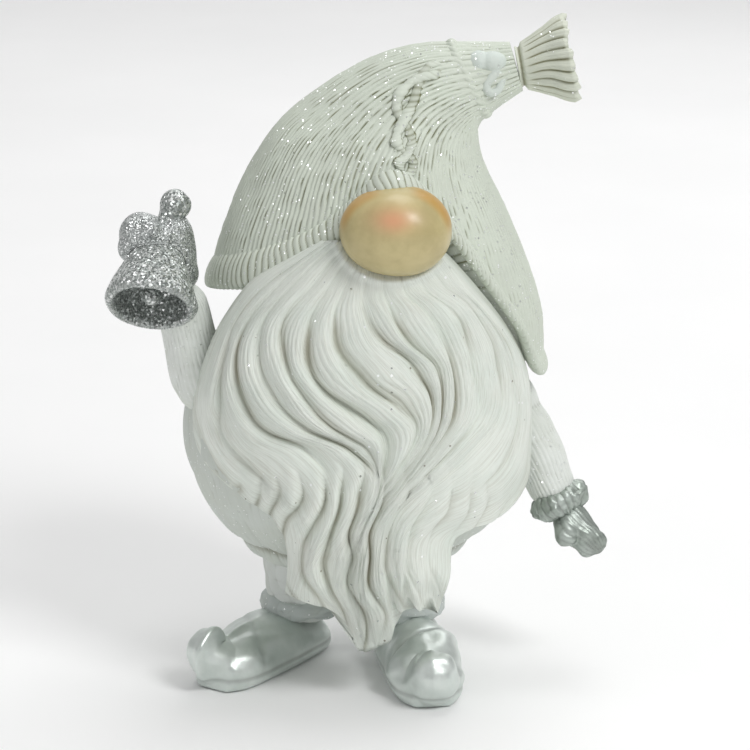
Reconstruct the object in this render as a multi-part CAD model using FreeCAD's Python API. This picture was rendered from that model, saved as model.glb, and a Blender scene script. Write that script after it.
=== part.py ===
import FreeCAD, Part
import math
import os

# A hand-sized garden gnome figurine in painted cast resin.
# Millimetres. +Z up, the figure faces -Y, and the soles stand on z = 0.
# "right" and "left" are the gnome's own: the raised arm and the bell are on its right, at -X.

V = FreeCAD.Vector

# ---- driving dimensions -------------------------------------------------------------

# The figure is laid out about its body's axis, then moved so that the origin is
# under the middle of its whole box.
SHIFT = V(-1.6, 4.5, 0)
SMALLEST_PIECE = 5.0

# Body casting: an egg-shaped coat, slush-cast hollow.
BODY_CENTRE = V(0, 0, 68)
BODY_HALF = V(47, 40, 42)
BODY_WALL = 4.5
POUR_HOLE_R = 13.0
POUR_HOLE_DEPTH = 12.0
PLUG_FLANGE_R = 16.0
PLUG_FLANGE_REACH = 6.0
PLUG_NECK_DEPTH = 8.0
PLUG_TRIM_HEIGHT = 20.0
PLUG_FLANGE_T = 2.0

# Knitted hat: ovals across its bent axis, as (x, z, tilt in degrees, half width, y, half depth).
HAT_RINGS = [
    (5.0, 84.0, 0, 45.5, 0.0, 38.5),
    (5.0, 100.0, 0, 44.5, 0.0, 38.0),
    (4.3, 115.0, 0, 41.0, 0.0, 35.5),
    (4.0, 130.0, 2, 35.5, 0.5, 31.5),
    (6.0, 145.0, 8, 27.8, 1.0, 25.5),
    (12.5, 155.5, 18, 20.5, 1.5, 19.5),
    (22.7, 161.2, 43, 14.0, 2.0, 14.0),
    (33.0, 163.4, 68, 9.6, 2.0, 9.6),
    (42.6, 166.0, 74, 6.6, 2.0, 6.6),
]
HAT_WALL = 4.0
HAT_TIP_SOLID_RINGS = 2
HAT_BEND_RING = 5
BRIM_CENTRE_X = 5.0
BRIM_HALF_X = 44.6
BRIM_HALF_Y = 38.2

# Height of the brim's lower edge round the hat, as (angle from the front in degrees, z).
BRIM_HEIGHTS = [
    (-180, 96), (-150, 98), (-120, 103), (-90, 109), (-60, 113), (-40, 117), (-24, 122.5),
    (-12, 130), (-3, 139), (8, 144.5), (19, 140), (28, 132), (38, 122), (52, 107),
    (70, 93), (90, 88), (120, 90), (150, 93),
]
BRIM_HALF_T = 2.4
BRIM_HALF_H = 4.2
BRIM_LEAN = 0.35
BRIM_SEGMENTS = 36

# Above BRIM_NARROWS_Z the brim follows the hat in as it narrows, by these amounts over a rise.
BRIM_NARROWS_Z = 100.0
BRIM_NARROWS_RISE = 30.0
BRIM_NARROWS_BY = (7.75, 5.58)

# Nose: a bulb with a locating peg behind it.
NOSE_CENTRE = V(10.7, -38.0, 131.5)
NOSE_HALF_WIDTH = 14.4
NOSE_R = 11.8
NOSE_PEG_R = 4.0
NOSE_PEG_LENGTH = 8.0
NOSE_PEG_BEDDED = 3.0
NOSE_END_ANGLE = 82
NOSE_RING_ANGLES = (-82, -66, -48, -24, 0, 24, 48, 66, 82)

# Beard: level ovals, as (z, x, half width, y, depth in front, depth behind).
BEARD_LEVELS = [
    (131.0, 9.0, 13.0, -29.0, 7.0, 5.0),
    (121.0, 4.0, 28.0, -25.0, 14.0, 6.0),
    (109.0, 2.0, 38.0, -15.0, 27.0, 8.0),
    (93.0, 2.0, 43.0, -8.0, 37.5, 4.0),
    (75.0, 2.5, 44.3, -6.0, 41.5, 4.0),
    (60.0, 3.7, 43.3, -6.0, 41.0, 4.0),
    (50.0, 4.5, 40.0, -8.0, 37.5, 4.0),
    (42.0, 3.0, 33.0, -11.0, 32.0, 4.0),
    (34.0, 0.5, 24.5, -16.0, 25.5, 4.0),
    (26.5, 1.5, 19.0, -23.0, 16.5, 4.0),
    (20.0, 2.2, 8.5, -29.5, 8.5, 3.5),
    (15.6, 2.7, 3.0, -33.5, 3.2, 2.5),
]

# Hat trimmings.
BRAID_R = 2.3
BRAID_CROSSINGS = [
    [V(13.0, -22.2, 150.0), V(10.0, -20.6, 152.8), V(12.4, -18.0, 156.5)],
    [V(13.0, -15.4, 159.6), V(16.2, -12.8, 162.5), V(15.0, -10.0, 165.6)],
    [V(19.5, -9.2, 167.0), V(23.0, -7.4, 168.2), V(26.4, -7.0, 166.8)],
]
TIE_AT = V(30.0, 2.0, 162.9)
TIE_TILT = 62.0
TIE_RING_R = 10.7
TIE_BAND_R = 1.3
BOW_KNOT_ENDS = (V(33.6, -5.6, 167.2), V(36.6, -5.2, 167.2))
BOW_KNOT_RS = (2.8, 2.6)
BOW_TAIL = (V(38.2, -5.4, 165.4), V(37.2, -6.4, 161.0), V(40.0, -5.4, 164.0))
BOW_END_R = 1.3
TASSEL_NECK = V(42.9, 2.0, 166.0)
TASSEL_END = V(57.0, 2.0, 168.6)

# Tassel rings, as (share of the way from the neck to the end, radius).
TASSEL_RINGS = [(0.0, 5.4), (0.12, 6.4), (0.55, 8.8), (0.9, 11.0), (1.0, 10.6)]
TASSEL_PLEATS = 18
TASSEL_PLEAT_DEPTH = 0.5

# Right arm, raised, with the bell in its mitten.
RIGHT_SHOULDER = V(-27, 4, 92)
RIGHT_ELBOW = V(-39.5, -7, 82)
RIGHT_WRIST = V(-46.5, -15, 111)
RIGHT_SLEEVE_RS = (8.5, 8.0, 5.8)
RIGHT_PALM_START = V(0.3, 0, 3)
FIST_CENTRE = V(-55.0, -17.0, 125.0)
FIST_HALF = V(6.8, 6.2, 6.4)
PALM_TOP = V(-47.5, -16.0, 127.0)
PALM_R = 5.6

BELL_AXIS = V(-0.10, -0.70, -0.71)
BELL_CROWN = V(-51.0, -19.0, 121.5)
BELL_LENGTH = 17.0
BELL_MOUTH_R = 12.2
BELL_WAIST_R = 8.0
BELL_CROWN_R = 6.0
BELL_WALL = 1.5
BELL_INSIDE_DEPTH = 10.5
BELL_THROAT_FLARE = (1.2, 1.5)
BELL_LIP_STEP = (1.3, 6.0)
CLAPPER_BALL_R = 2.5
CLAPPER_ABOVE_MOUTH = 3.4
CLAPPER_STEM_R = 1.0
HANDLE_R = 3.2
HANDLE_START = V(0.6, 0.6, 0.8)
HANDLE_KNOB = V(-46.7, -15.0, 132.6)
HANDLE_KNOB_R = 4.9

# Left arm, hanging.
LEFT_SHOULDER = V(31, 2, 88)
LEFT_ELBOW = V(44.5, -2, 70)
LEFT_WRIST = V(53.2, -5, 52)
LEFT_SLEEVE_RS = (8.5, 7.2, 6.2)
LEFT_CUFF_R = 4.2
LEFT_CUFF_THICK = 3.6
LEFT_CUFF_PAST_WRIST = 4.2
LEFT_CUFF_CORE = 5.0
LEFT_PALM = V(58.5, -7.0, 43.0)
LEFT_TIP = V(64.0, -9.0, 37.6)
LEFT_PALM_RS = (5.0, 4.0)
LEFT_THUMB_START = V(-2, -2, 0.5)
LEFT_THUMB_TIP = V(57.0, -12.0, 40.0)
LEFT_THUMB_RS = (3.2, 2.6)

# Legs and shoes, as x, y of the leg and heading of the shoe away from straight ahead.
LEG_R = 10.4
LEG_TOP = 40.0
LEG_BOTTOM = 12.0
LEG_GROWTH = ((LEG_BOTTOM, 0.90), (21.0, 0.96), (30.0, 1.05), (LEG_TOP, 1.2))
LEG_CUFF_RING_R = LEG_R * 0.9
CUFF_R = 2.6
RIGHT_LEG_XY = (-14.8, 9.0)
LEFT_LEG_XY = (13.0, 7.0)
RIGHT_HEEL_XY = (-12.5, 16.5)
LEFT_HEEL_XY = (13.0, 14.5)
RIGHT_HEADING = -34.0
LEFT_HEADING = 9.0

# Shoe ovals, as (distance from the heel, half width, height).
SHOE_RINGS = [
    (-2.0, 3.0, 6.0), (0.0, 6.5, 9.0), (4.0, 8.9, 12.0), (10.0, 9.8, 13.6), (18.0, 10.2, 14.6),
    (27.0, 10.2, 14.8), (36.0, 9.8, 13.0), (42.0, 8.6, 11.0), (46.5, 5.2, 8.0),
]
SHOE_LENGTH = 46.5
LEFT_SHOE_STRETCH = 1.08
SHOE_CENTRE_PART = 0.36
TOE_CAP_HALF = V(7.4, 5.2, 7.0)
TOE_CAP_BACK = 3.0
TOE_CAP_Z = 5.0
TOE_CURL_START = (0.4, 2.0, 8.0)
TOE_CURL_RS = (4.2, 2.3)

# Where each toe curls to: (sideways, back from the toe's end, height).
RIGHT_TOE_CURL = (-3.0, 1.5, 17.0)
LEFT_TOE_CURL = (1.0, 2.5, 14.0)

# Steel wire in the legs and the arms.
WIRE_R = 1.2
LEG_WIRE_BOTTOM = 4.0
LEG_WIRE_TOP = 44.0
RIGHT_ARM_WIRE = (V(5, -1, 2), V(-7.5, -2.5, -5.0))
LEFT_ARM_WIRE = (V(-4, 1, 4), V(7.5, -1.5, -8.5))

# Blocks used only to cut with.
FAR_OUT = 30
FAR_DEPTH = 60.0
LOW_DOWN = 60
GROUND_SIDE = 120
GROUND_FRONT = 90
SAME_RADIUS = 1e-6

# ---- helpers --------------------------------------------------------------------------


def ellipsoid(centre, half):
    ball = Part.makeSphere(1.0)
    grow = FreeCAD.Matrix()
    grow.scale(half.x, half.y, half.z)
    solid = ball.transformGeometry(grow)
    solid.translate(centre)
    return solid


def closed_wire(points):
    curve = Part.BSplineCurve()
    curve.interpolate(Points=points, PeriodicFlag=True)
    return Part.Wire([curve.toShape()])


def oval(centre, a_dir, b_dir, half_a, half_b_plus, half_b_minus, count=16):
    """A closed smooth oval. Its two halves along b_dir may differ in depth."""
    points = []
    for i in range(count):
        t = 2.0 * math.pi * i / count
        half_b = half_b_plus if math.sin(t) > 0 else half_b_minus
        points.append(centre + a_dir * (half_a * math.cos(t)) + b_dir * (half_b * math.sin(t)))
    return closed_wire(points)


def loft(wires):
    return Part.makeLoft(wires, True, False)


def two_lofts(wires, middle):
    """A long loft made as two that share the wire at middle."""
    return loft(wires[:middle + 1]).fuse(loft(wires[middle:]))


def capsule(p0, r0, p1, r1):
    axis = p1 - p0
    cone = Part.makeCone(r0, r1, axis.Length, p0, axis) if abs(r0 - r1) > SAME_RADIUS else \
        Part.makeCylinder(r0, axis.Length, p0, axis)
    ends = [Part.makeSphere(r0, p0), Part.makeSphere(r1, p1)]
    return cone.multiFuse(ends).removeSplitter()


def rod(p0, p1, radius):
    axis = p1 - p0
    return Part.makeCylinder(radius, axis.Length, p0, axis)


def brim_height(angle):
    """Height of the brim's lower edge at an angle from the front, straight between the given angles."""
    table = BRIM_HEIGHTS + [(BRIM_HEIGHTS[0][0] + 360, BRIM_HEIGHTS[0][1])]
    for (a0, z0), (a1, z1) in zip(table, table[1:]):
        if a0 <= angle <= a1:
            part = (angle - a0) / float(a1 - a0)
            return z0 + (z1 - z0) * part
    raise ValueError(angle)


def brim_point(angle):
    z = brim_height(angle)
    risen = max(0.0, z - BRIM_NARROWS_Z) / BRIM_NARROWS_RISE
    half_x = BRIM_HALF_X - risen * BRIM_NARROWS_BY[0]
    half_y = BRIM_HALF_Y - risen * BRIM_NARROWS_BY[1]
    t = math.radians(angle)
    return V(BRIM_CENTRE_X + half_x * math.sin(t), -half_y * math.cos(t), z)


def hat_rings(shrink, skip_last=0):
    wires = []
    rings = HAT_RINGS[:len(HAT_RINGS) - skip_last]
    for x, z, tilt, half_a, y, half_b in rings:
        t = math.radians(tilt)
        a_dir = V(math.cos(t), 0, -math.sin(t))
        b_dir = V(0, 1, 0)
        wires.append(oval(V(x, y, z), a_dir, b_dir, half_a - shrink,
                          half_b - shrink, half_b - shrink))
    return wires


def hat_outer():
    return two_lofts(hat_rings(0.0), HAT_BEND_RING)


def below_brim():
    """Everything under the brim's lower edge: one block in front, one behind."""
    blocks = []
    for first, last, y0, y1 in ((-90, 90, -FAR_DEPTH, 0.0), (90, 270, 0.0, FAR_DEPTH)):
        points = []
        steps = 24
        for i in range(steps + 1):
            angle = first + (last - first) * i / float(steps)
            turned = angle if angle < 180 else angle - 360
            here = brim_point(turned)
            points.append(V(here.x, 0, here.z))
        outward = FAR_OUT if first == -90 else -FAR_OUT
        points[0].x = points[0].x - outward
        points[-1].x = points[-1].x + outward
        points = points + [V(points[-1].x, 0, LOW_DOWN), V(points[0].x, 0, LOW_DOWN)]
        face = Part.Face(Part.makePolygon(points + [points[0]]))
        face.translate(V(0, y0, 0))
        blocks.append(face.extrude(V(0, y1 - y0, 0)))
    return blocks


# ---- body, plug, wires ------------------------------------------------------------------


def body_outer():
    return ellipsoid(BODY_CENTRE, BODY_HALF)


def make_plug():
    top = BODY_CENTRE.z + BODY_HALF.z
    flange_base = V(0, 0, top - PLUG_FLANGE_REACH)
    flange = Part.makeCylinder(PLUG_FLANGE_R, PLUG_FLANGE_T + PLUG_FLANGE_REACH, flange_base)
    flange = flange.cut(body_outer())
    neck = Part.makeCylinder(POUR_HOLE_R, PLUG_NECK_DEPTH, V(0, 0, top - PLUG_NECK_DEPTH))
    lid = Part.makeCylinder(PLUG_FLANGE_R, PLUG_TRIM_HEIGHT, V(0, 0, top + PLUG_FLANGE_T))
    return flange.fuse(neck).cut(lid).removeSplitter()


def make_torso(wires):
    outer = body_outer()
    wall = V(BODY_WALL, BODY_WALL, BODY_WALL)
    inner = ellipsoid(BODY_CENTRE, BODY_HALF - wall)
    base = V(0, 0, BODY_CENTRE.z + BODY_HALF.z - POUR_HOLE_DEPTH)
    hole = Part.makeCylinder(POUR_HOLE_R, PLUG_TRIM_HEIGHT, base)
    return outer.cut(inner).cut(hole).cut(wires)


def make_leg_wires():
    rods = []
    for x, y in (RIGHT_LEG_XY, LEFT_LEG_XY):
        rods.append(rod(V(x, y, LEG_WIRE_BOTTOM), V(x, y, LEG_WIRE_TOP), WIRE_R))
    return rods


def make_arm_wires():
    rods = []
    for shoulder, (start, end) in ((RIGHT_SHOULDER, RIGHT_ARM_WIRE), (LEFT_SHOULDER, LEFT_ARM_WIRE)):
        rods.append(rod(shoulder + start, shoulder + end, WIRE_R))
    return rods


# ---- hat ----------------------------------------------------------------------------------


def make_brim():
    wires = []
    for i in range(BRIM_SEGMENTS):
        angle = -180 + 360.0 * i / BRIM_SEGMENTS
        here = brim_point(angle)
        t = math.radians(angle)
        out = V(math.sin(t) * BRIM_HALF_Y, -math.cos(t) * BRIM_HALF_X, 0).normalize()
        up = V(0, 0, 1) - out * BRIM_LEAN
        up.normalize()
        centre = here + V(0, 0, BRIM_HALF_H * 0.6)
        wires.append(oval(centre, out, up, BRIM_HALF_T, BRIM_HALF_H, BRIM_HALF_H, 8))
    return two_lofts(wires + [wires[0]], BRIM_SEGMENTS // 2)


def make_hat(face_block, brim, beard_block):
    outer = hat_outer()
    inner = loft(hat_rings(HAT_WALL, HAT_TIP_SOLID_RINGS))
    shell = outer.cut(inner)
    for block in face_block:
        shell = shell.cut(block)
    return shell.cut(brim).cut(body_outer()).cut(beard_block)


def make_braid(hat_solid):
    """Three raised cable crossings along the front ridge of the hat, bedded into the knit."""
    solids = []
    for path in BRAID_CROSSINGS:
        bead = capsule(path[0], BRAID_R, path[1], BRAID_R)
        bead = bead.fuse(capsule(path[1], BRAID_R, path[2], BRAID_R))
        solids.append(bead.cut(hat_solid))
    return solids


def ring_wires(centre, tilt, radius, band_r):
    """A closed ring about a tilted axis in the XZ plane."""
    t = math.radians(tilt)
    axis = V(math.sin(t), 0, math.cos(t))
    ring = Part.makeTorus(radius, band_r, V(0, 0, 0), V(0, 0, 1))
    turn = FreeCAD.Rotation(V(0, 0, 1), axis)
    ring.Placement = FreeCAD.Placement(centre, turn)
    return ring


def make_tassel():
    axis = (TASSEL_END - TASSEL_NECK).normalize()
    b_dir = V(0, 1, 0)
    a_dir = axis.cross(b_dir).normalize()
    wires = []
    length = (TASSEL_END - TASSEL_NECK).Length
    for part, radius in TASSEL_RINGS:
        centre = TASSEL_NECK + axis * (length * part)
        points = []
        count = TASSEL_PLEATS * 4
        for i in range(count):
            t = 2.0 * math.pi * i / count
            ripple = TASSEL_PLEAT_DEPTH * part * math.cos(TASSEL_PLEATS * t)
            points.append(centre + a_dir * ((radius + ripple) * math.cos(t))
                          + b_dir * ((radius + ripple) * math.sin(t)))
        wires.append(closed_wire(points))
    return loft(wires)


def make_bow():
    """The tie's knot, with one short end that hooks down and back up."""
    knot = capsule(BOW_KNOT_ENDS[0], BOW_KNOT_RS[0], BOW_KNOT_ENDS[1], BOW_KNOT_RS[1])
    down = capsule(BOW_TAIL[0], BOW_END_R, BOW_TAIL[1], BOW_END_R)
    back = capsule(BOW_TAIL[1], BOW_END_R, BOW_TAIL[2], BOW_END_R)
    return knot.fuse(down).fuse(back)


# ---- beard and nose -----------------------------------------------------------------------


def beard_block():
    wires = []
    for z, x, half_w, y, front, behind in BEARD_LEVELS:
        wires.append(oval(V(x, y, z), V(1, 0, 0), V(0, 1, 0), half_w, behind, front, 20))
    return loft(wires)


def nose_bulb():
    """A wide bulb: round rings from side to side, with very small flats at its two ends."""
    wires = []
    reach = NOSE_HALF_WIDTH / math.sin(math.radians(NOSE_END_ANGLE))
    for degrees in NOSE_RING_ANGLES:
        t = math.radians(degrees)
        radius = NOSE_R * math.cos(t)
        centre = NOSE_CENTRE + V(reach * math.sin(t), 0, 0)
        wires.append(oval(centre, V(0, 1, 0), V(0, 0, 1), radius, radius, radius))
    return loft(wires)


def make_nose():
    peg_start = NOSE_CENTRE + V(0, NOSE_R - NOSE_PEG_BEDDED, 0)
    peg = rod(peg_start, peg_start + V(0, NOSE_PEG_LENGTH, 0), NOSE_PEG_R)
    return nose_bulb().fuse(peg)


# ---- right arm and bell -------------------------------------------------------------------


def right_arm():
    r0, r1, r2 = RIGHT_SLEEVE_RS
    upper = capsule(RIGHT_SHOULDER, r0, RIGHT_ELBOW, r1)
    fore = capsule(RIGHT_ELBOW, r1, RIGHT_WRIST, r2)
    return upper.fuse(fore)


def right_hand():
    palm = capsule(RIGHT_WRIST + RIGHT_PALM_START, PALM_R, PALM_TOP, PALM_R)
    return palm.fuse(ellipsoid(FIST_CENTRE, FIST_HALF))


def bell_turn():
    axis = V(BELL_AXIS).normalize()
    return FreeCAD.Placement(BELL_CROWN, FreeCAD.Rotation(V(0, 0, 1), axis))


def revolve(profile):
    face = Part.Face(Part.makePolygon([V(x, 0, z) for x, z in profile + [profile[0]]]))
    return face.revolve(V(0, 0, 0), V(0, 0, 1), 360)


def bell_outside():
    """The bell's outer skin: a crown, a waist and a flared lip, as a revolved curve."""
    curve = Part.BSplineCurve()
    curve.interpolate(Points=[V(BELL_CROWN_R, 0, 0), V(BELL_WAIST_R, 0, 3),
                              V(BELL_WAIST_R * 1.18, 0, 8), V(BELL_MOUTH_R * 0.91, 0, 13.4),
                              V(BELL_MOUTH_R, 0, BELL_LENGTH)])
    side = curve.toShape()
    lines = Part.makePolygon([V(BELL_MOUTH_R, 0, BELL_LENGTH), V(0, 0, BELL_LENGTH),
                              V(0, 0, 0), V(BELL_CROWN_R, 0, 0)])
    face = Part.Face(Part.Wire([side] + lines.Edges))
    solid = face.revolve(V(0, 0, 0), V(0, 0, 1), 360)
    solid.Placement = bell_turn()
    return solid


def bell_inside():
    """The bell's hollow: a shallow dome that opens at the mouth."""
    start = BELL_LENGTH - BELL_INSIDE_DEPTH
    mouth = BELL_MOUTH_R - BELL_WALL
    crown = BELL_WAIST_R - BELL_WALL
    past_mouth = BELL_LENGTH + 0.01
    solid = revolve([(0, start), (crown, start),
                     (crown + BELL_THROAT_FLARE[0], start + BELL_THROAT_FLARE[1]),
                     (mouth - BELL_LIP_STEP[0], start + BELL_LIP_STEP[1]),
                     (mouth, past_mouth), (0, past_mouth)])
    solid.Placement = bell_turn()
    return solid


def make_clapper():
    axis = V(BELL_AXIS).normalize()
    start = BELL_CROWN + axis * (BELL_LENGTH - BELL_INSIDE_DEPTH)
    ball_at = BELL_CROWN + axis * (BELL_LENGTH - CLAPPER_ABOVE_MOUTH)
    stem = rod(start, ball_at, CLAPPER_STEM_R)
    return stem.fuse(Part.makeSphere(CLAPPER_BALL_R, ball_at))


def make_handle():
    grip = rod(BELL_CROWN + HANDLE_START, HANDLE_KNOB, HANDLE_R)
    return grip.fuse(Part.makeSphere(HANDLE_KNOB_R, HANDLE_KNOB))


# ---- left arm -------------------------------------------------------------------------------


def left_arm():
    r0, r1, r2 = LEFT_SLEEVE_RS
    upper = capsule(LEFT_SHOULDER, r0, LEFT_ELBOW, r1)
    fore = capsule(LEFT_ELBOW, r1, LEFT_WRIST, r2)
    return upper.fuse(fore)


def left_cuff():
    axis = (LEFT_PALM - LEFT_WRIST).normalize()
    centre = LEFT_WRIST + axis * LEFT_CUFF_PAST_WRIST
    ring = Part.makeTorus(LEFT_CUFF_R, LEFT_CUFF_THICK, V(0, 0, 0), V(0, 0, 1))
    core = Part.makeCylinder(LEFT_CUFF_R, LEFT_CUFF_CORE, V(0, 0, -LEFT_CUFF_CORE / 2))
    band = ring.fuse(core)
    band.Placement = FreeCAD.Placement(centre, FreeCAD.Rotation(V(0, 0, 1), axis))
    return band


def left_hand():
    palm = capsule(LEFT_PALM, LEFT_PALM_RS[0], LEFT_TIP, LEFT_PALM_RS[1])
    thumb_start = LEFT_PALM + LEFT_THUMB_START
    thumb = capsule(thumb_start, LEFT_THUMB_RS[0], LEFT_THUMB_TIP, LEFT_THUMB_RS[1])
    return palm.fuse(thumb)


# ---- legs and shoes ---------------------------------------------------------------------------


def leg(x, y):
    wires = []
    for z, grow in LEG_GROWTH:
        wires.append(oval(V(x, y, z), V(1, 0, 0), V(0, 1, 0), LEG_R * grow,
                          LEG_R * grow, LEG_R * grow))
    return loft(wires)


def trouser_cuff(x, y):
    return Part.makeTorus(LEG_CUFF_RING_R, CUFF_R, V(x, y, LEG_BOTTOM + CUFF_R))


def shoe(heel_xy, heading, stretch, curl):
    """A pointed slipper with a flat sole, and a toe that curls up and back."""
    wires = []
    for along, half_w, height in SHOE_RINGS:
        middle = height * SHOE_CENTRE_PART
        half_h = height - middle
        wires.append(oval(V(0, -along * stretch, middle), V(1, 0, 0), V(0, 0, 1),
                          half_w, half_h, half_h))
    body = loft(wires)
    toe = SHOE_LENGTH * stretch
    cap = ellipsoid(V(0, -toe + TOE_CAP_BACK, TOE_CAP_Z), TOE_CAP_HALF)
    sideways, back, height = TOE_CURL_START
    tip_start = V(curl[0] * sideways, -toe + back, height)
    tip_end = V(curl[0], -toe + curl[1], curl[2])
    tip = capsule(tip_start, TOE_CURL_RS[0], tip_end, TOE_CURL_RS[1])
    solid = body.multiFuse([cap, tip])
    ground = Part.makeBox(GROUND_SIDE, GROUND_SIDE, FAR_OUT,
                         V(-GROUND_SIDE / 2, -GROUND_FRONT, -FAR_OUT))
    solid = solid.cut(ground)
    turn = FreeCAD.Rotation(V(0, 0, 1), heading)
    solid.Placement = FreeCAD.Placement(V(heel_xy[0], heel_xy[1], 0), turn)
    return solid


# ---- assembly: each casting is cut back to the faces it is bonded to ---------------------------


def compound(solids):
    return Part.makeCompound(solids)


def whole_pieces(shape):
    """The shape without the crumbs that a cut may leave, moved to the figure's own origin."""
    solids = [solid for solid in shape.Solids if solid.Volume > SMALLEST_PIECE]
    kept = solids[0] if len(solids) == 1 else compound(solids)
    kept = kept.copy()
    kept.translate(SHIFT)
    return kept


def build():
    leg_wires = make_leg_wires()
    arm_wires = make_arm_wires()
    wires = compound(leg_wires + arm_wires)

    nose = make_nose()
    brim = make_brim().cut(nose_bulb())
    raw_beard = beard_block()
    hat_solid = hat_outer()
    plug = make_plug()
    beard = raw_beard.cut(body_outer()).cut(nose).cut(brim).cut(plug)
    hat = make_hat(below_brim(), brim, raw_beard).cut(nose)

    torso = make_torso(wires)

    tie = ring_wires(TIE_AT, TIE_TILT, TIE_RING_R, TIE_BAND_R).cut(hat_solid)
    braid = compound(make_braid(hat_solid)).cut(tie)
    bow = make_bow().cut(hat_solid).cut(tie)
    tassel = make_tassel().cut(hat_solid)

    handle = make_handle()
    bell_skin = bell_outside().cut(bell_inside())
    handle = handle.cut(bell_outside())
    clapper = make_clapper()
    bell = bell_skin.cut(clapper)
    hand = right_hand().cut(bell_outside()).cut(handle)
    sleeve = right_arm().cut(right_hand()).cut(body_outer()).cut(raw_beard)
    sleeve = sleeve.cut(bell_outside()).cut(hat_solid).cut(brim).cut(wires)

    cuff = left_cuff().cut(raw_beard)
    mitten = left_hand().cut(cuff)
    left_sleeve = left_arm().cut(cuff).cut(left_hand()).cut(body_outer())
    left_sleeve = left_sleeve.cut(raw_beard).cut(hat_solid).cut(brim).cut(wires)

    nodes = {
        "torso_shell": torso, "pour_hole_plug": plug, "hat_shell": hat, "hat_brim": brim,
        "hat_braid": braid, "hat_tie": tie, "hat_bow": bow, "hat_tassel": tassel,
        "beard": beard, "nose": nose, "right_sleeve": sleeve, "right_mitten": hand,
        "bell_cup": bell, "bell_handle": handle, "bell_clapper": clapper,
        "left_sleeve": left_sleeve, "left_cuff": cuff, "left_mitten": mitten,
        "leg_wires": compound(leg_wires), "arm_wires": compound(arm_wires),
    }
    sides = (
        ("right", RIGHT_LEG_XY, RIGHT_HEEL_XY, RIGHT_HEADING, 1.0, RIGHT_TOE_CURL),
        ("left", LEFT_LEG_XY, LEFT_HEEL_XY, LEFT_HEADING, LEFT_SHOE_STRETCH, LEFT_TOE_CURL),
    )
    for side, leg_xy, heel_xy, heading, stretch, curl in sides:
        roll = trouser_cuff(*leg_xy)
        trouser = leg(*leg_xy)
        foot = shoe(heel_xy, heading, stretch, curl).cut(roll).cut(trouser).cut(wires)
        nodes[side + "_leg"] = trouser.cut(roll).cut(body_outer()).cut(raw_beard).cut(wires)
        nodes[side + "_leg_cuff"] = roll.cut(raw_beard)
        nodes[side + "_shoe"] = foot.cut(raw_beard)
    return nodes


def main():
    os.makedirs("parts", exist_ok=True)
    total = Part.makeCompound([])
    nodes = build()
    for name in sorted(nodes):
        shape = whole_pieces(nodes[name])
        total.add(shape)
        box = shape.BoundBox
        print("%-16s solids %d valid %s volume %9.1f  x %6.1f %6.1f  y %6.1f %6.1f  z %6.1f %6.1f"
              % (name, len(shape.Solids), shape.isValid(), shape.Volume,
                 box.XMin, box.XMax, box.YMin, box.YMax, box.ZMin, box.ZMax))
        shape.exportStep(os.path.join("parts", name + ".step"))
    box = total.BoundBox
    print("whole: x %.1f %.1f  y %.1f %.1f  z %.1f %.1f"
          % (box.XMin, box.XMax, box.YMin, box.YMax, box.ZMin, box.ZMax))


main()
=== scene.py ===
import math

import bmesh
import bpy
import numpy as np
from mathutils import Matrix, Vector


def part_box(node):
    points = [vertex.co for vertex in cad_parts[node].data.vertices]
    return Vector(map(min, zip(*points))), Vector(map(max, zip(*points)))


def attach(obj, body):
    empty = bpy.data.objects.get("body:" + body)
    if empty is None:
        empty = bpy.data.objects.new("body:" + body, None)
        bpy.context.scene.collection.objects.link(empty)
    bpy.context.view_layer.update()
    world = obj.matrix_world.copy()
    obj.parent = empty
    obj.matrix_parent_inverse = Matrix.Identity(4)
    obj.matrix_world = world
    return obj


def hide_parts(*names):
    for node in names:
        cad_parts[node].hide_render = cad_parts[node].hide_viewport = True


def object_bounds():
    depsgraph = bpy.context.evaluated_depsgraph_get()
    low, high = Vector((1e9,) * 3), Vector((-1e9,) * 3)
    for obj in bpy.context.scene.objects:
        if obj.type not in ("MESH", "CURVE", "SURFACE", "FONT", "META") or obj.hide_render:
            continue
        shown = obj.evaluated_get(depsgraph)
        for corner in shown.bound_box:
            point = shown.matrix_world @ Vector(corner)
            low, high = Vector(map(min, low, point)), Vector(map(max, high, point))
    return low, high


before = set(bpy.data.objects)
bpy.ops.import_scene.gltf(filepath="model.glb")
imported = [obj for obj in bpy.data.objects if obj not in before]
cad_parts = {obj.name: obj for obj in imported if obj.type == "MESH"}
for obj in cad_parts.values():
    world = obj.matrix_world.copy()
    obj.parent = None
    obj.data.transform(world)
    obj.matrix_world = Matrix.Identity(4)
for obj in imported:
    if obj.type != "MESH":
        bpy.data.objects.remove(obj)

cad_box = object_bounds()

# All making is in millimetres about the body's own axis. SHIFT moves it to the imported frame,
# and is read from the nose, whose middle is at NOSE_AT in the making coordinates.
NOSE_AT = np.array([10.7, -38.0, 131.5])
NOSE_HALF = np.array([14.4, 11.8, 11.8])
nose_low, nose_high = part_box("nose")
MM = 0.001
SHIFT = np.array([(nose_low.x + nose_high.x) / 2 / MM - NOSE_AT[0],
                  nose_low.y / MM + NOSE_HALF[1] - NOSE_AT[1], 0.0])
ELEVATION = math.radians(16.0)


# ---- numbers and noise ------------------------------------------------------------------

def noise2(x, y, seed):
    """Smooth value noise between -1 and 1."""
    table = np.random.default_rng(seed).random((256, 256))
    x = np.asarray(x, float)
    y = np.asarray(y, float)
    xi = np.floor(x).astype(int)
    yi = np.floor(y).astype(int)
    fx = x - xi
    fy = y - yi
    fx = fx * fx * (3 - 2 * fx)
    fy = fy * fy * (3 - 2 * fy)
    a = table[xi % 256, yi % 256]
    b = table[(xi + 1) % 256, yi % 256]
    c = table[xi % 256, (yi + 1) % 256]
    d = table[(xi + 1) % 256, (yi + 1) % 256]
    low = a + (b - a) * fx
    high = c + (d - c) * fx
    return (low + (high - low) * fy) * 2 - 1


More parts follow.
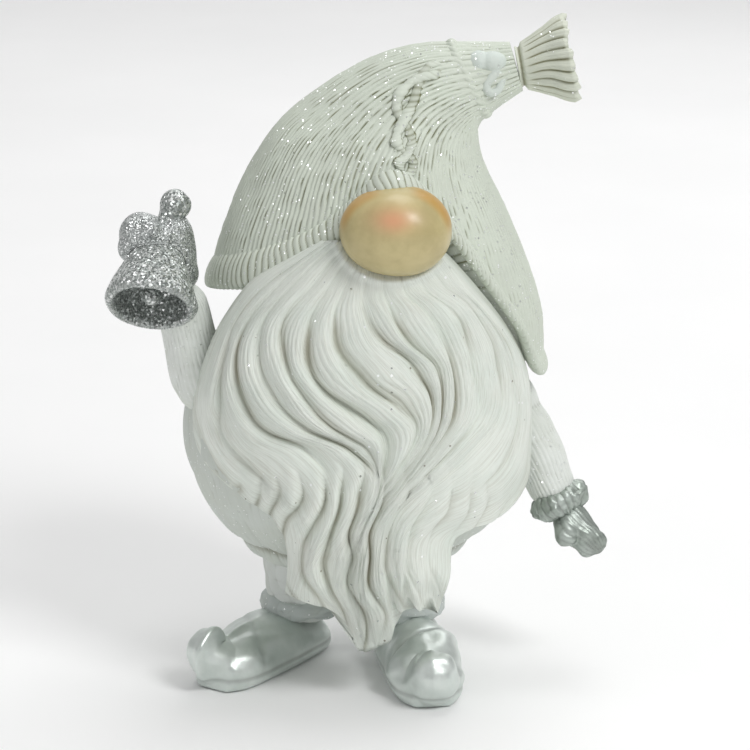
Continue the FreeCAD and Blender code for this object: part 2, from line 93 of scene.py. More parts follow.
def smooth_step(low, high, x):
    """0 at low and 1 at high, level at both; low may be the larger of the two."""
    t = np.clip((x - low) / (high - low), 0, 1)
    return t * t * (3 - 2 * t)


def catmull(points, t):
    """Values at t along a smooth curve through points; t runs from 0 to len(points) - 1."""
    points = np.asarray(points, float)
    last = len(points) - 1
    t = np.clip(np.asarray(t, float), 0, last)
    i = np.minimum(np.floor(t).astype(int), last - 1)
    f = (t - i).reshape(t.shape + (1,) * (points.ndim - 1))
    p1 = points[i]
    p2 = points[i + 1]
    p0 = np.where((i > 0).reshape(f.shape), points[np.maximum(i - 1, 0)], 2 * p1 - p2)
    p3 = np.where((i + 2 <= last).reshape(f.shape), points[np.minimum(i + 2, last)], 2 * p2 - p1)
    return 0.5 * (2 * p1 + (p2 - p0) * f + (2 * p0 - 5 * p1 + 4 * p2 - p3) * f ** 2
                  + (3 * p1 - p0 - 3 * p2 + p3) * f ** 3)


def hump(x, middle, width):
    """1 where x is at the middle, falling smoothly away on both sides."""
    return np.exp(-((x - middle) / width) ** 2)


def circle(count):
    """Angles evenly spaced once round."""
    return np.linspace(0, 2 * np.pi, count, endpoint=False)


def unit(v):
    """The same directions at length one."""
    return v / np.maximum(np.linalg.norm(v, axis=-1, keepdims=True), 1e-9)


def spokes(side, up, angles):
    """Directions at the given angles round each ring, from its two cross directions."""
    return (side[..., None, :] * np.cos(angles)[:, None]
            + up[..., None, :] * np.sin(angles)[:, None])


def square_to(axis):
    """Two directions square to an axis and to each other."""
    side = unit(np.cross(axis, (0, 1.0, 0)))
    return side, np.cross(axis, side)


# ---- meshes -----------------------------------------------------------------------------

def make_piece(name, verts, faces, uv=None, values=None):
    """A smooth-shaded mesh object from millimetre points, with named vertex values."""
    verts = (np.asarray(verts, float) + SHIFT) * MM
    mesh = bpy.data.meshes.new(name)
    mesh.from_pydata(verts.tolist(), [], [list(f) for f in faces])
    mesh.validate()
    mesh.polygons.foreach_set("use_smooth", np.ones(len(mesh.polygons), bool))
    loops = np.zeros(len(mesh.loops), int)
    mesh.loops.foreach_get("vertex_index", loops)
    if uv is not None:
        layer = mesh.uv_layers.new(name="UVMap")
        layer.data.foreach_set("uv", np.asarray(uv, np.float32)[loops].ravel())
    piece = bpy.data.objects.new(name, mesh)
    bpy.context.scene.collection.objects.link(piece)
    for key, value in (values or {}).items():
        set_value(piece, key, value)
    return piece


def quads(rows, cols, wrap=False, wrap_rows=False, start=0):
    """Quads of a rows x cols grid of points; wrap joins its last column or row to the first."""
    i, j = np.meshgrid(np.arange(rows - (not wrap_rows)), np.arange(cols - (not wrap)), indexing="ij")
    n = (i + 1) % rows
    m = (j + 1) % cols
    corners = np.stack([i * cols + j, i * cols + m, n * cols + m, n * cols + j], -1)
    return (start + corners).reshape(-1, 4).tolist()


def tube_piece(name, p, values=None):
    """A closed skin from rings of points p[ring, around], each end drawn to its middle."""
    rows, cols, _ = p.shape
    verts = np.vstack([p.reshape(-1, 3), p[0].mean(0), p[-1].mean(0)])
    faces = quads(rows, cols, wrap=True)
    for row, middle in ((0, rows * cols), (rows - 1, rows * cols + 1)):
        for j in range(cols):
            a = row * cols + j
            b = row * cols + (j + 1) % cols
            faces.append([a, b, middle] if row else [b, a, middle])
    round_and_along = np.meshgrid(np.linspace(0, 1, cols), np.linspace(0, 1, rows))
    uv = np.vstack([np.stack(round_and_along, -1).reshape(-1, 2), [0.5, 0], [0.5, 1]])
    with_ends = {}
    for key, value in (values or {}).items():
        with_ends[key] = np.r_[value.ravel(), value[0].mean(), value[-1].mean()]
    return face_outward(make_piece(name, verts, faces, uv, with_ends))


def cross_directions(path):
    """Two directions square to a path at each of its points, without sudden twists."""
    tangent = unit(np.gradient(path, axis=0))
    side = np.zeros_like(path)
    guess = np.array([0.0, -1.0, 0.0]) if abs(tangent[0][1]) < 0.9 else np.array([1.0, 0, 0])
    for i, t in enumerate(tangent):
        guess = guess - t * np.dot(guess, t)
        guess = guess / np.linalg.norm(guess)
        side[i] = guess
    return side, np.cross(tangent, side)


def round_tube(path_points, radii, rings, around):
    """Rings of a round-ended tube along a smooth path."""
    t = np.linspace(0, len(path_points) - 1, rings)
    path = catmull(path_points, t)
    radius = catmull(np.asarray(radii, float)[:, None], t)[:, 0]
    length = np.r_[0, np.cumsum(np.linalg.norm(np.diff(path, axis=0), axis=1))]
    for end, r_end in ((length, radius[0]), (length[-1] - length, radius[-1])):
        near = np.clip(end / r_end, 0, 1)
        radius = radius * np.sqrt(np.clip(1 - (1 - near) ** 2, 0.0004, 1))
    side, up = cross_directions(path)
    return path[:, None] + radius[:, None, None] * spokes(side, up, circle(around))


def ball_rings(centre, half, rings=32, around=48):
    """Rings of an egg from its bottom to its top; half is its half size each way."""
    lat = np.linspace(-np.pi / 2 + 0.03, np.pi / 2 - 0.03, rings)
    la, lo = np.meshgrid(lat, circle(around), indexing="ij")
    ball = np.stack([np.cos(la) * np.cos(lo), np.cos(la) * np.sin(lo), np.sin(la)], -1)
    return centre + np.asarray(half) * ball


def hoop_rings(centre, out, axis, radius, r, tall, angles):
    """Rings of a roll round an axis: radius is to the roll's middle, r its own, tall its stretch."""
    return (centre + out[:, None] * (radius + r * np.cos(angles))[..., None]
            + axis * (r * np.sin(angles) * tall)[..., None])


def closed_ring(name, p, groove_shade):
    """A skin from points p[along, around] that joins up both ways."""
    rows, cols, _ = p.shape
    i, j = np.meshgrid(np.arange(rows), np.arange(cols), indexing="ij")
    uv = np.stack([i / rows, j / cols], -1).reshape(-1, 2)
    faces = quads(rows, cols, wrap=True, wrap_rows=True)
    return face_outward(make_piece(name, p.reshape(-1, 3), faces, uv, {"groove_shade": groove_shade}))


def face_outward(piece):
    """Makes every face of a closed piece look outward."""
    mesh = bmesh.new()
    mesh.from_mesh(piece.data)
    bmesh.ops.recalc_face_normals(mesh, faces=mesh.faces)
    mesh.to_mesh(piece.data)
    mesh.free()
    return piece


def join(name, pieces):
    """One piece from several that stay separate skins. Only they are selected, never a CAD node."""
    bpy.ops.object.select_all(action="DESELECT")
    for piece in pieces:
        piece.select_set(True)
    bpy.context.view_layer.objects.active = pieces[0]
    if len(pieces) > 1:
        bpy.ops.object.join()
    whole = bpy.context.view_layer.objects.active
    bpy.ops.object.select_all(action="DESELECT")
    whole.name = name
    whole.data.name = name
    return whole


def melt(name, skins, voxel, smooth):
    """One organic skin from overlapping closed skins: remeshed, then smoothed where they meet."""
    parts = [tube_piece(name + str(i), p) for i, p in enumerate(skins)]
    piece = join(name, parts)
    remesh = piece.modifiers.new("remesh", "REMESH")
    remesh.mode = "VOXEL"
    remesh.voxel_size = voxel * MM
    relax = piece.modifiers.new("relax", "SMOOTH")
    relax.factor = 0.5
    relax.iterations = smooth
    depsgraph = bpy.context.evaluated_depsgraph_get()
    mesh = bpy.data.meshes.new_from_object(piece.evaluated_get(depsgraph), depsgraph=depsgraph)
    piece.modifiers.clear()
    piece.data = mesh
    mesh.polygons.foreach_set("use_smooth", np.ones(len(mesh.polygons), bool))
    return piece


def read_vertices(piece, what):
    values = np.zeros(len(piece.data.vertices) * 3)
    piece.data.vertices.foreach_get(what, values)
    return values.reshape(-1, 3)


def points_of(piece):
    return read_vertices(piece, "co") / MM - SHIFT


def normals_of(piece):
    return read_vertices(piece, "normal")


def set_points(piece, p):
    piece.data.vertices.foreach_set("co", ((p + SHIFT) * MM).ravel())
    piece.data.update()


def set_value(piece, key, value):
    """Stores one number per vertex, which the piece's material reads."""
    attribute = piece.data.attributes.new(key, "FLOAT", "POINT")
    attribute.data.foreach_set("value", np.asarray(value, np.float32).ravel())


# ---- materials --------------------------------------------------------------------------

class Shader:
    """A small helper that builds a node material around one Principled shader."""

    def __init__(self, name, roughness=0.5, metallic=0.0, specular=0.5):
        self.material = bpy.data.materials.new(name)
        self.material.use_nodes = True
        self.tree = self.material.node_tree
        self.surface = self.tree.nodes["Principled BSDF"]
        self.surface.inputs["Roughness"].default_value = roughness
        self.surface.inputs["Metallic"].default_value = metallic
        self.surface.inputs["Specular IOR Level"].default_value = specular
        coordinates = self.node("ShaderNodeTexCoord")
        self.place = coordinates.outputs["Object"]
        self.uv = coordinates.outputs["UV"]

    def node(self, kind, **settings):
        made = self.tree.nodes.new(kind)
        for key, value in settings.items():
            setattr(made, key, value)
        return made

    def feed(self, socket, value):
        if isinstance(value, bpy.types.NodeSocket):
            self.tree.links.new(value, socket)
        else:
            socket.default_value = value

    def set(self, name, value):
        self.feed(self.surface.inputs[name], value)

    def noise(self, scale, detail=3.0, rough=0.55, where=None):
        n = self.node("ShaderNodeTexNoise")
        n.inputs["Scale"].default_value = scale
        n.inputs["Detail"].default_value = detail
        n.inputs["Roughness"].default_value = rough
        self.feed(n.inputs["Vector"], where or self.place)
        return n.outputs["Fac"]

    def cells(self, scale):
        n = self.node("ShaderNodeTexVoronoi")
        n.inputs["Scale"].default_value = scale
        self.feed(n.inputs["Vector"], self.place)
        return n.outputs

    def channels(self, colour):
        n = self.node("ShaderNodeSeparateColor")
        self.feed(n.inputs[0], colour)
        return n.outputs

    def stretch(self, where, scale):
        n = self.node("ShaderNodeMapping")
        n.inputs["Scale"].default_value = scale
        self.feed(n.inputs["Vector"], where)
        return n.outputs["Vector"]

    def value(self, key):
        return self.node("ShaderNodeAttribute", attribute_name=key).outputs["Fac"]

    def math(self, how, a, b):
        n = self.node("ShaderNodeMath", operation=how)
        self.feed(n.inputs[0], a)
        self.feed(n.inputs[1], b)
        return n.outputs[0]

    def vector(self, how, a, b):
        n = self.node("ShaderNodeVectorMath", operation=how)
        self.feed(n.inputs[0], a)
        self.feed(n.inputs[1], b)
        return n.outputs[0]

    def between(self, value, low, high, out_low=0.0, out_high=1.0):
        n = self.node("ShaderNodeMapRange", interpolation_type="SMOOTHSTEP")
        self.feed(n.inputs["Value"], value)
        n.inputs["From Min"].default_value = low
        n.inputs["From Max"].default_value = high
        n.inputs["To Min"].default_value = out_low
        n.inputs["To Max"].default_value = out_high
        return n.outputs["Result"]

    def mix(self, amount, a, b):
        n = self.node("ShaderNodeMix", data_type="RGBA")
        self.feed(n.inputs[0], amount)
        self.feed(n.inputs[6], a)
        self.feed(n.inputs[7], b)
        return n.outputs[2]

    def bump(self, height, strength, distance_mm, under=None):
        n = self.node("ShaderNodeBump")
        n.inputs["Strength"].default_value = strength
        n.inputs["Distance"].default_value = distance_mm * MM
        self.feed(n.inputs["Height"], height)
        if under is not None:
            self.feed(n.inputs["Normal"], under)
        return n.outputs["Normal"]

    def facet(self, normal, colour, tilt):
        """Tilts the normal at random by the colour of a flake."""
        away = self.vector("SUBTRACT", colour, (0.5, 0.5, 0.5))
        away = self.vector("MULTIPLY", away, (tilt, tilt, tilt))
        n = self.node("ShaderNodeVectorMath", operation="NORMALIZE")
        self.feed(n.inputs[0], self.vector("ADD", normal, away))
        return n.outputs[0]

    def sparkle(self, colour, normal, roughness, flake_mm, share):
        """Scattered bright flakes over a painted surface."""
        flakes = self.cells(1.0 / (flake_mm * MM))
        chance = self.channels(flakes["Color"])[0]
        chosen = self.math("GREATER_THAN", chance, 1.0 - share)
        near = self.math("LESS_THAN", flakes["Distance"], 0.30)
        mask = self.math("MULTIPLY", chosen, near)
        self.set("Base Color", self.mix(mask, colour, (0.93, 0.95, 0.94, 1)))
        self.set("Metallic", mask)
        self.set("Roughness", self.math("SUBTRACT", roughness, self.math("MULTIPLY", mask, 0.22)))
        turned = self.facet(normal, flakes["Color"], 1.1)
        self.set("Normal", self.mix(mask, normal, turned))


def rgb(r, g, b):
    """Linear colour from the usual 0-255 display values."""
    out = []
    for c in (r, g, b):
        c = c / 255.0
        out.append(c / 12.92 if c <= 0.04045 else ((c + 0.055) / 1.055) ** 2.4)
    return (*out, 1.0)


def beard_material():
    s = Shader("painted_beard", roughness=0.48, specular=0.45)
    hair = s.noise(1.0, 4.0, 0.6, s.stretch(s.uv, (420.0, 9.0, 1.0)))
    fine = s.noise(1.0, 2.0, 0.5, s.stretch(s.uv, (1100.0, 16.0, 1.0)))
    cloud = s.noise(90.0, 3.0)
    pits = s.cells(300.0)
    chance = s.channels(pits["Color"])[0]
    pit = s.math("LESS_THAN", pits["Distance"], 0.09)
    pit = s.math("MULTIPLY", pit, s.math("GREATER_THAN", chance, 0.86))
    groove_shade = s.value("groove_shade")
    # Painted shade: the grooves between locks and strands are darkened toward olive-grey.
    colour = s.mix(s.between(groove_shade, 0.05, 0.95), rgb(234, 239, 231), rgb(150, 148, 128))
    colour = s.mix(s.between(cloud, 0.35, 0.75, 0.0, 0.35), colour, rgb(212, 224, 215))
    streak = s.between(hair, 0.58, 0.34, 0.0, 0.30)
    colour = s.mix(streak, colour, rgb(176, 174, 158))
    colour = s.mix(s.math("MULTIPLY", pit, 0.75), colour, rgb(120, 112, 92))
    normal = s.bump(hair, 0.70, 0.30)
    normal = s.bump(fine, 0.45, 0.13, normal)
    normal = s.bump(s.noise(1500.0, 2.0), 0.12, 0.08, normal)
    s.sparkle(colour, normal, s.between(cloud, 0.3, 0.7, 0.42, 0.56), 1.15, 0.018)
    return s.material


def knit_material(name, light, shade_colour, share):
    s = Shader(name, roughness=0.6, specular=0.4)
    groove_shade = s.value("groove_shade")
    cloud = s.noise(120.0, 4.0)
    # Painted shade: the paint goes toward a darker colour down the grooves.
    colour = s.mix(s.between(groove_shade, 0.15, 1.0), light, shade_colour)
    colour = s.mix(s.between(cloud, 0.38, 0.72, 0.0, 0.4), colour, rgb(200, 205, 194))
    normal = s.bump(s.noise(1300.0, 3.0), 0.4, 0.16)
    normal = s.bump(s.cells(2100.0)["Distance"], 0.3, 0.10, normal)
    s.sparkle(colour, normal, s.between(cloud, 0.3, 0.7, 0.48, 0.66), 0.75, share)
    return s.material


def glitter_material(name, dark, light, flake_mm, tilt):
    s = Shader(name, roughness=0.32, metallic=0.85)
    flakes = s.cells(1.0 / (flake_mm * MM))
    chance, shade, gloss = s.channels(flakes["Color"])
    colour = s.mix(s.between(shade, 0.1, 0.95), dark, light)
    bright = s.math("GREATER_THAN", chance, 0.90)
    colour = s.mix(bright, colour, (0.97, 0.98, 0.98, 1))
    # Painted shade: darker where a piece marks its grooves and hollows.
    colour = s.mix(s.between(s.value("groove_shade"), 0.0, 1.0, 0.0, 0.75), colour, rgb(60, 60, 58))
    s.set("Base Color", colour)
    s.set("Roughness", s.between(gloss, 0.0, 1.0, 0.22, 0.5))
    normal = s.bump(flakes["Distance"], 0.35, 0.12)
    s.set("Normal", s.facet(normal, flakes["Color"], tilt))
    return s.material


def silver_material(name, roughness, dark, light):
    s = Shader(name, roughness=roughness, metallic=0.72)
    cloud = s.noise(140.0, 4.0)
    colour = s.mix(s.between(cloud, 0.3, 0.75), dark, light)
    # Painted shade in the grooves and creases that the piece marks.
    colour = s.mix(s.value("groove_shade"), colour, rgb(120, 122, 118))
    s.set("Base Color", colour)
    s.set("Roughness", s.between(cloud, 0.3, 0.7, roughness - 0.05, roughness + 0.08))
    normal = s.bump(s.noise(230.0, 3.0), 0.30, 0.5)
    s.set("Normal", s.bump(s.noise(2400.0, 2.0), 0.12, 0.06, normal))
    return s.material


def nose_material():
    s = Shader("nose_paint", roughness=0.34, specular=0.5)
    s.surface.inputs["Coat Weight"].default_value = 0.25
    s.surface.inputs["Coat Roughness"].default_value = 0.25
    cloud = s.noise(110.0, 4.0)
    colour = s.mix(s.between(cloud, 0.35, 0.7), rgb(198, 184, 134), rgb(178, 164, 116))
    colour = s.mix(s.value("blush"), colour, rgb(226, 158, 122))
    # Painted shade under the brim, in a darker gold.
    colour = s.mix(s.value("edge"), colour, rgb(190, 142, 52))
    s.set("Base Color", colour)
    s.set("Roughness", s.between(cloud, 0.3, 0.7, 0.30, 0.42))
    normal = s.bump(s.noise(420.0, 3.0), 0.2, 0.12)
    s.set("Normal", s.bump(s.noise(1800.0, 2.0), 0.08, 0.06, normal))
    return s.material


def plain_material(name, colour_a, colour_b, roughness, metallic=0.0):
    s = Shader(name, roughness=roughness, metallic=metallic)
    cloud = s.noise(200.0, 4.0)
    s.set("Base Color", s.mix(s.between(cloud, 0.3, 0.7), colour_a, colour_b))
    s.set("Normal", s.bump(s.noise(1200.0, 3.0), 0.2, 0.08))
    return s.material


# ---- dress helpers ----------------------------------------------------------------------

def dress(piece, material, node):
    """Gives a piece its material and its body, and hides the CAD node it stands for."""
    piece.data.materials.clear()
    piece.data.materials.append(material)
    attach(piece, "root")
    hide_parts(node)


def lumps(p, size_mm, seed):
    """Slow hand-sculpted unevenness between about -1 and 1, read from where a point is."""
    x, y, z = p[..., 0] / size_mm, p[..., 1] / size_mm, p[..., 2] / size_mm
    return (noise2(x + z * 0.31, y + z * 0.77, seed) + noise2(z, x - y * 0.6, seed + 5)) * 0.5


def ridges(phase, sharp):
    """1 on the top of each ridge and 0 in the groove between two; a ridge per whole number."""
    return np.abs(np.sin(np.pi * phase)) ** sharp


def roughen(piece, size_mm, depth_mm, seed):
    """Pushes a piece's surface in and out by slow lumps."""
    p = points_of(piece)
    set_points(piece, p + normals_of(piece) * (lumps(p, size_mm, seed) * depth_mm)[:, None])
    return piece


# ---- beard ------------------------------------------------------------------------------

# Each lock boundary from root to tip, as (x, z), from the gnome's right to its left.
BEARD_GUIDES = [
    [(-25, 117), (-33.5, 105.5), (-39, 93.5), (-42.5, 81.5), (-42.5, 71), (-39, 63.5),
     (-29.5, 57.5), (-21, 52.5), (-17.5, 43), (-18.5, 30.5)],
    [(-22, 117), (-30, 106.5), (-34, 95), (-36, 83), (-33, 74), (-27, 68.5),
     (-17.5, 62), (-11.5, 54.5), (-12.5, 43.5), (-15, 30)],
    [(-18.5, 117.5), (-27, 107), (-30.5, 96), (-28, 85), (-21, 78.5), (-11, 75),
     (-4, 65), (-6, 53.5), (-12, 41.5), (-4, 26)],
    [(-15, 117.5), (-23, 107.5), (-24, 97), (-20, 88), (-11.5, 81), (0, 75.5),
     (5.5, 66.5), (-1, 53.5), (-5, 41.5), (0.5, 16)],
    [(-10.5, 117.5), (-17.5, 108.5), (-18, 97.5), (-13.5, 89.5), (-5, 81.5), (3.5, 75.5),
     (6, 65), (1, 53.5), (-3, 41), (1.5, 15)],
    [(-6, 117.5), (-11.5, 108.5), (-11, 99), (-6, 91), (2, 83.5), (7, 77),
     (6, 64), (2, 53.5), (-1, 40.5), (2.5, 14.5)],
    [(-2, 117.5), (-4, 109.5), (-3, 102), (3, 93), (10.5, 86.5), (15, 78.5),
     (6.5, 63), (2.5, 53.5), (0, 39.5), (3, 14.5)],
    [(2.5, 117), (4, 110.5), (7, 104), (13.5, 97.5), (19, 88.5), (18, 77),
     (7, 62), (3, 53), (1, 39), (4, 15)],
    [(7, 117), (10, 110.5), (14, 103), (20, 96), (22, 86.5), (20, 77),
     (8, 61), (4, 52.5), (2.5, 38.5), (5.5, 15.5)],
    [(12, 117), (17, 111), (22, 103), (25, 94), (25, 84.5), (21, 75.5),
     (9, 60.5), (5.5, 52.5), (4.5, 38.5), (7.5, 16.5)],
    [(17, 117.5), (25, 110.5), (30, 101), (32, 92), (31, 82.5), (24, 74.5),
     (10.5, 59.5), (7.5, 51.5), (7, 38), (10, 18.5)],
    [(22, 118), (30, 110.5), (36, 100), (38.5, 90), (37.5, 80), (29, 71.5),
     (14.5, 60), (10, 50.5), (11, 37.5), (12, 24.5)],
    [(26.5, 117.5), (34.5, 107.5), (40.5, 96.5), (43, 85.5), (43, 75), (38.5, 65),
     (27, 58.5), (15, 50.5), (15, 37.5), (17, 24.5)],
    [(31, 114.5), (39, 103), (45, 90.5), (47, 78.5), (47, 66.5), (46, 56.5),
     (39, 50), (27, 47), (25, 36.5), (22, 23.5)],
]
# How far the beard stands out at each height: (z, depth, half width, y of its back plane).
BEARD_DEPTHS = [
    (8, 10, 26, -23), (18, 12, 30, -22), (28, 20, 36, -17), (38, 32, 43, -9), (48, 40, 48, -4.5),
    (60, 44, 50, -2), (75, 45, 50, -1.5), (95, 42, 49, -3), (112, 36, 46, -6), (125, 26, 40, -12),
    (135, 18, 30, -18),
]
BEARD_ROWS = 206
BEARD_COLS = 456
BEARD_BACK_COLS = 26
BEARD_MIDDLE_X = 1.5
STRANDS_PER_LOCK = 6
LOCK_RISE = 0.43
COLLAR_RISE = 1.6
LOW_WAVE = 2.6
LOW_WAVE_LENGTH = 6.6
LOW_LOCK_WIDTH = 5.6
EDGE_TUCK = 7.0

# Gaps between the lock ends at the bottom, as (lock, width in locks, rise in guide rows).
LOCK_GAPS = [(10.6, 0.35, 0.5), (11.6, 0.35, 0.55), (12.5, 0.3, 0.45)]


def beard_depth(x, z):
    """How far forward the beard's smooth shape lies, before its locks."""
    table = np.array(BEARD_DEPTHS, float)
    depth, half, back = (np.interp(z, table[:, 0], table[:, k]) for k in (1, 2, 3))
    across = np.clip(np.abs(x - BEARD_MIDDLE_X) / half, 0, 0.98)
    return back - depth * np.sqrt(1 - across ** 2)


def zip_rows(a, b):
    """Triangles between two runs of point numbers of different lengths."""
    faces = []
    k = 0
    for j in range(len(a) - 1):
        faces.append([a[j], a[j + 1], b[k]])
        wanted = round((j + 1) * (len(b) - 1) / (len(a) - 1))
        while k < wanted:
            faces.append([a[j + 1], b[k + 1], b[k]])
            k += 1
    return faces


def beard_surface():
    """The beard's front with its locks: points, painted shade for its grooves, and shares across and
    down.
    """
    guides = np.array(BEARD_GUIDES, float)
    under_nose = guides[:, :1] * (0.55, 1.0) + (4.5, 11.0)
    guides = np.concatenate([under_nose, guides], axis=1)
    last_row = guides.shape[1] - 1
    locks = len(guides) - 1
    u = np.linspace(0, locks, BEARD_COLS)
    v = np.linspace(0, last_row, BEARD_ROWS)
    flat = catmull(catmull(guides, u).transpose(1, 0, 2), v)
    rise = sum(height * hump(u, at, width) for at, width, height in LOCK_GAPS)
    for j in range(BEARD_COLS):
        kept = v * (1 - rise[j] / last_row)
        for axis in (0, 1):
            flat[:, j, axis] = np.interp(kept, v, flat[:, j, axis])
    x, z = flat[..., 0], flat[..., 1]
    p = np.stack([x, beard_depth(x, z), z], -1)

    uu, vv = np.meshgrid(u, v)
    spacing = np.linalg.norm(np.gradient(flat, axis=1), axis=-1) / (u[1] - u[0])
    q = uu + 0.20 * noise2(uu * 0.8, vv * 0.55, 11) + 0.07 * noise2(uu * 2.0, vv * 1.3, 12)
    inside = q - np.floor(q)
    lock = ridges(inside ** 1.55, 0.72)
    strand_phase = q * STRANDS_PER_LOCK + 0.9 * noise2(uu * 1.1, vv * 0.7, 13)
    strand = ridges(strand_phase, 0.8)
    # Low down the locks gather, and a few broad ones wave from side to side.
    wave = (x - LOW_WAVE * np.sin((z - 12.0) / LOW_WAVE_LENGTH)) / LOW_LOCK_WIDTH
    wave = wave + 0.35 * noise2(x / 9, z / 9, 16)
    low_inside = wave - np.floor(wave)
    gathered = smooth_step(6.0, 7.3, vv)
    lock = lock + gathered * (ridges(low_inside ** 1.4, 0.72) - lock)
    strand = strand + gathered * (ridges(wave * 5 + 0.6 * noise2(x / 4, z / 9, 17), 0.8) - strand)
    spacing = spacing + gathered * (LOW_LOCK_WIDTH - spacing)
    calm = 1 - 0.35 * smooth_step(9.0, 10.5, uu)
    root = 0.35 + 0.65 * smooth_step(1.0, 3.2, vv)
    height = np.clip(spacing * LOCK_RISE, 0.35, 2.3) * calm * root
    own = 1 + 0.35 * noise2(np.floor(q) * 3.7, vv * 0.35, 14)
    fine = 0.55 + 0.45 * noise2(uu * 1.7, vv * 0.9, 18)
    rise = height * own * lock + 0.20 * height * fine * strand + 0.8 * noise2(uu * 0.4, vv * 0.5, 15)
    # The deep parting in the middle, where the locks of the two sides meet.
    rise = rise - 1.9 * hump(q, 5.0, 0.35) * hump(vv, 5.2, 1.5)
    edge = smooth_step(0, 1.1, uu) * smooth_step(0, 1.1, locks - uu)
    tip = smooth_step(last_row, last_row - 0.9, vv)
    p = p + grid_out(p) * (rise * (0.35 + 0.65 * edge) * (0.25 + 0.75 * tip))[..., None]
    low = smooth_step(30, 48, p[..., 2])
    p[..., 1] += (1 - edge) * (2.5 + (EDGE_TUCK - 2.5) * low) + (1 - tip) * 3.0
    # Painted shade: darker down the grooves between locks and between strands, fading in and out along
    # them.
    seen = 0.55 + 0.45 * noise2(uu * 0.9, vv * 0.8, 19)
    groove_shade = (1 - lock) ** 1.5 * seen + (1 - strand) ** 2 * 0.30 * fine
    groove_shade = np.clip(groove_shade, 0, 1) * calm * root
    near_nose = np.hypot((x - NOSE_AT[0]) / NOSE_HALF[0], (z - NOSE_AT[2]) / NOSE_HALF[2])
    p[..., 1] -= COLLAR_RISE * hump(near_nose, 1.10, 0.10)
    return p, groove_shade, uu / locks, vv / last_row


def grid_out(p):
    """Normals of a grid of points, all facing the front."""
    n = unit(np.cross(np.gradient(p, axis=1), np.gradient(p, axis=0)))
    return n * np.where(n[..., 1:2] > 0, -1.0, 1.0)


def make_beard():
    """The beard's front, with a hollow back joined on round its edge."""
    front, groove_shade, across, down = beard_surface()
    rows, cols, _ = front.shape
    t = np.linspace(0, 1, BEARD_BACK_COLS)[None, 1:-1, None]
    left, right = front[:, :1], front[:, -1:]
    back = left + (right - left) * t
    hollow = 9.0 * smooth_step(14, 34, back[..., 2])
    back[..., 1] = np.maximum(back[..., 1], left[..., 1]) + 1.5 + hollow * np.sin(np.pi * t[..., 0])
    inner = back.shape[1]
    start = rows * cols
    faces = quads(rows, cols) + quads(rows, inner, start=start)
    number = np.arange(rows * cols).reshape(rows, cols)
    behind = start + np.arange(rows * inner).reshape(rows, inner)
    for i in range(rows - 1):
        faces.append([number[i, 0], number[i + 1, 0], behind[i + 1, 0], behind[i, 0]])
        faces.append([number[i, -1], number[i + 1, -1], behind[i + 1, -1], behind[i, -1]])
    for i in (0, rows - 1):
        rim = [number[i, 0], *behind[i], number[i, -1]]
        faces += zip_rows(list(number[i]), rim)
    verts = np.vstack([front.reshape(-1, 3), back.reshape(-1, 3)])
    uv = np.stack([across, down], -1).reshape(-1, 2)
    uv_back = np.stack(np.broadcast_arrays(t[..., 0], down[:, :1]), -1).reshape(-1, 2)
    # The hollow back gets an even painted shade.
    depth = np.r_[groove_shade.ravel(), np.full(rows * inner, 0.35)]
    piece = make_piece("beard_skin", verts, faces, np.vstack([uv, uv_back]), {"groove_shade": depth})
    return face_outward(piece)


# ---- hat --------------------------------------------------------------------------------

# The hat's bent axis, as (x, z, tilt in degrees, half width, y, half depth).
HAT_RINGS = [
    (5.0, 84.0, 0, 45.5, 0.0, 38.5), (5.0, 100.0, 0, 44.5, 0.0, 38.0),
    (4.3, 115.0, 0, 41.0, 0.0, 35.5), (4.0, 130.0, 2, 35.5, 0.5, 31.5),
    (6.0, 145.0, 8, 27.8, 1.0, 25.5), (12.5, 155.5, 18, 20.5, 1.5, 19.5),
    (22.7, 161.2, 43, 14.0, 2.0, 14.0), (33.0, 163.4, 68, 9.6, 2.0, 9.6),
    (42.6, 166.0, 74, 6.6, 2.0, 6.6),
]
BRIM_HEIGHTS = [
    (-180, 96), (-150, 98), (-120, 103), (-90, 109), (-60, 113), (-40, 117), (-24, 122.5),
    (-12, 130), (-3, 139), (8, 144.5), (19, 140), (28, 132), (38, 122), (52, 107),
    (59, 100), (68, 89), (76, 85.5), (96, 85.5), (120, 90), (150, 93), (180, 96),
]
BRIM_CENTRE_X = 5.0
BRIM_HALF = (44.6, 38.2)
BRIM_NARROWS_BY = (7.75, 5.58)
BRIM_OVER_NOSE = np.array([0, -7.0, -1.9])
NOSE_ANGLE = 8
NOSE_SPREAD = 17
LEAN_SHARE = 0.42
HAT_RIBS = 144
HAT_COLS = HAT_RIBS * 6
HAT_ROWS = 114
RIB_RISE = 0.78
BRIM_COLS = 1080
BRIM_ROWS = 40


def brim_height(degrees):
    table = np.array(BRIM_HEIGHTS, float)
    spread = np.linspace(-6, 6, 13)
    around = (np.asarray(degrees)[..., None] + spread + 180) % 360 - 180
    return np.interp(around, table[:, 0], table[:, 1]).mean(-1)


def brim_point(degrees):
    z = brim_height(degrees)
    risen = np.maximum(0, z - 100) / 30
    t = np.radians(degrees)
    x = BRIM_CENTRE_X + (BRIM_HALF[0] - risen * BRIM_NARROWS_BY[0]) * np.sin(t)
    y = -(BRIM_HALF[1] - risen * BRIM_NARROWS_BY[1]) * np.cos(t)
    return np.stack([x, y, z], -1)


def over_nose(degrees):
    """How far the brim and the knit above it lean forward over the nose."""
    return hump(degrees, NOSE_ANGLE, NOSE_SPREAD)[..., None] * BRIM_OVER_NOSE


def hat_point(t, s):
    """Points on the hat at angles t from the front and places s along its rings."""
    x, z, tilt, half_a, y, half_b = np.moveaxis(catmull(HAT_RINGS, s), -1, 0)
    turn = np.radians(tilt)
    a = half_a * np.sin(t)
    return np.stack([x + np.cos(turn) * a, y - half_b * np.cos(t), z - np.sin(turn) * a], -1)


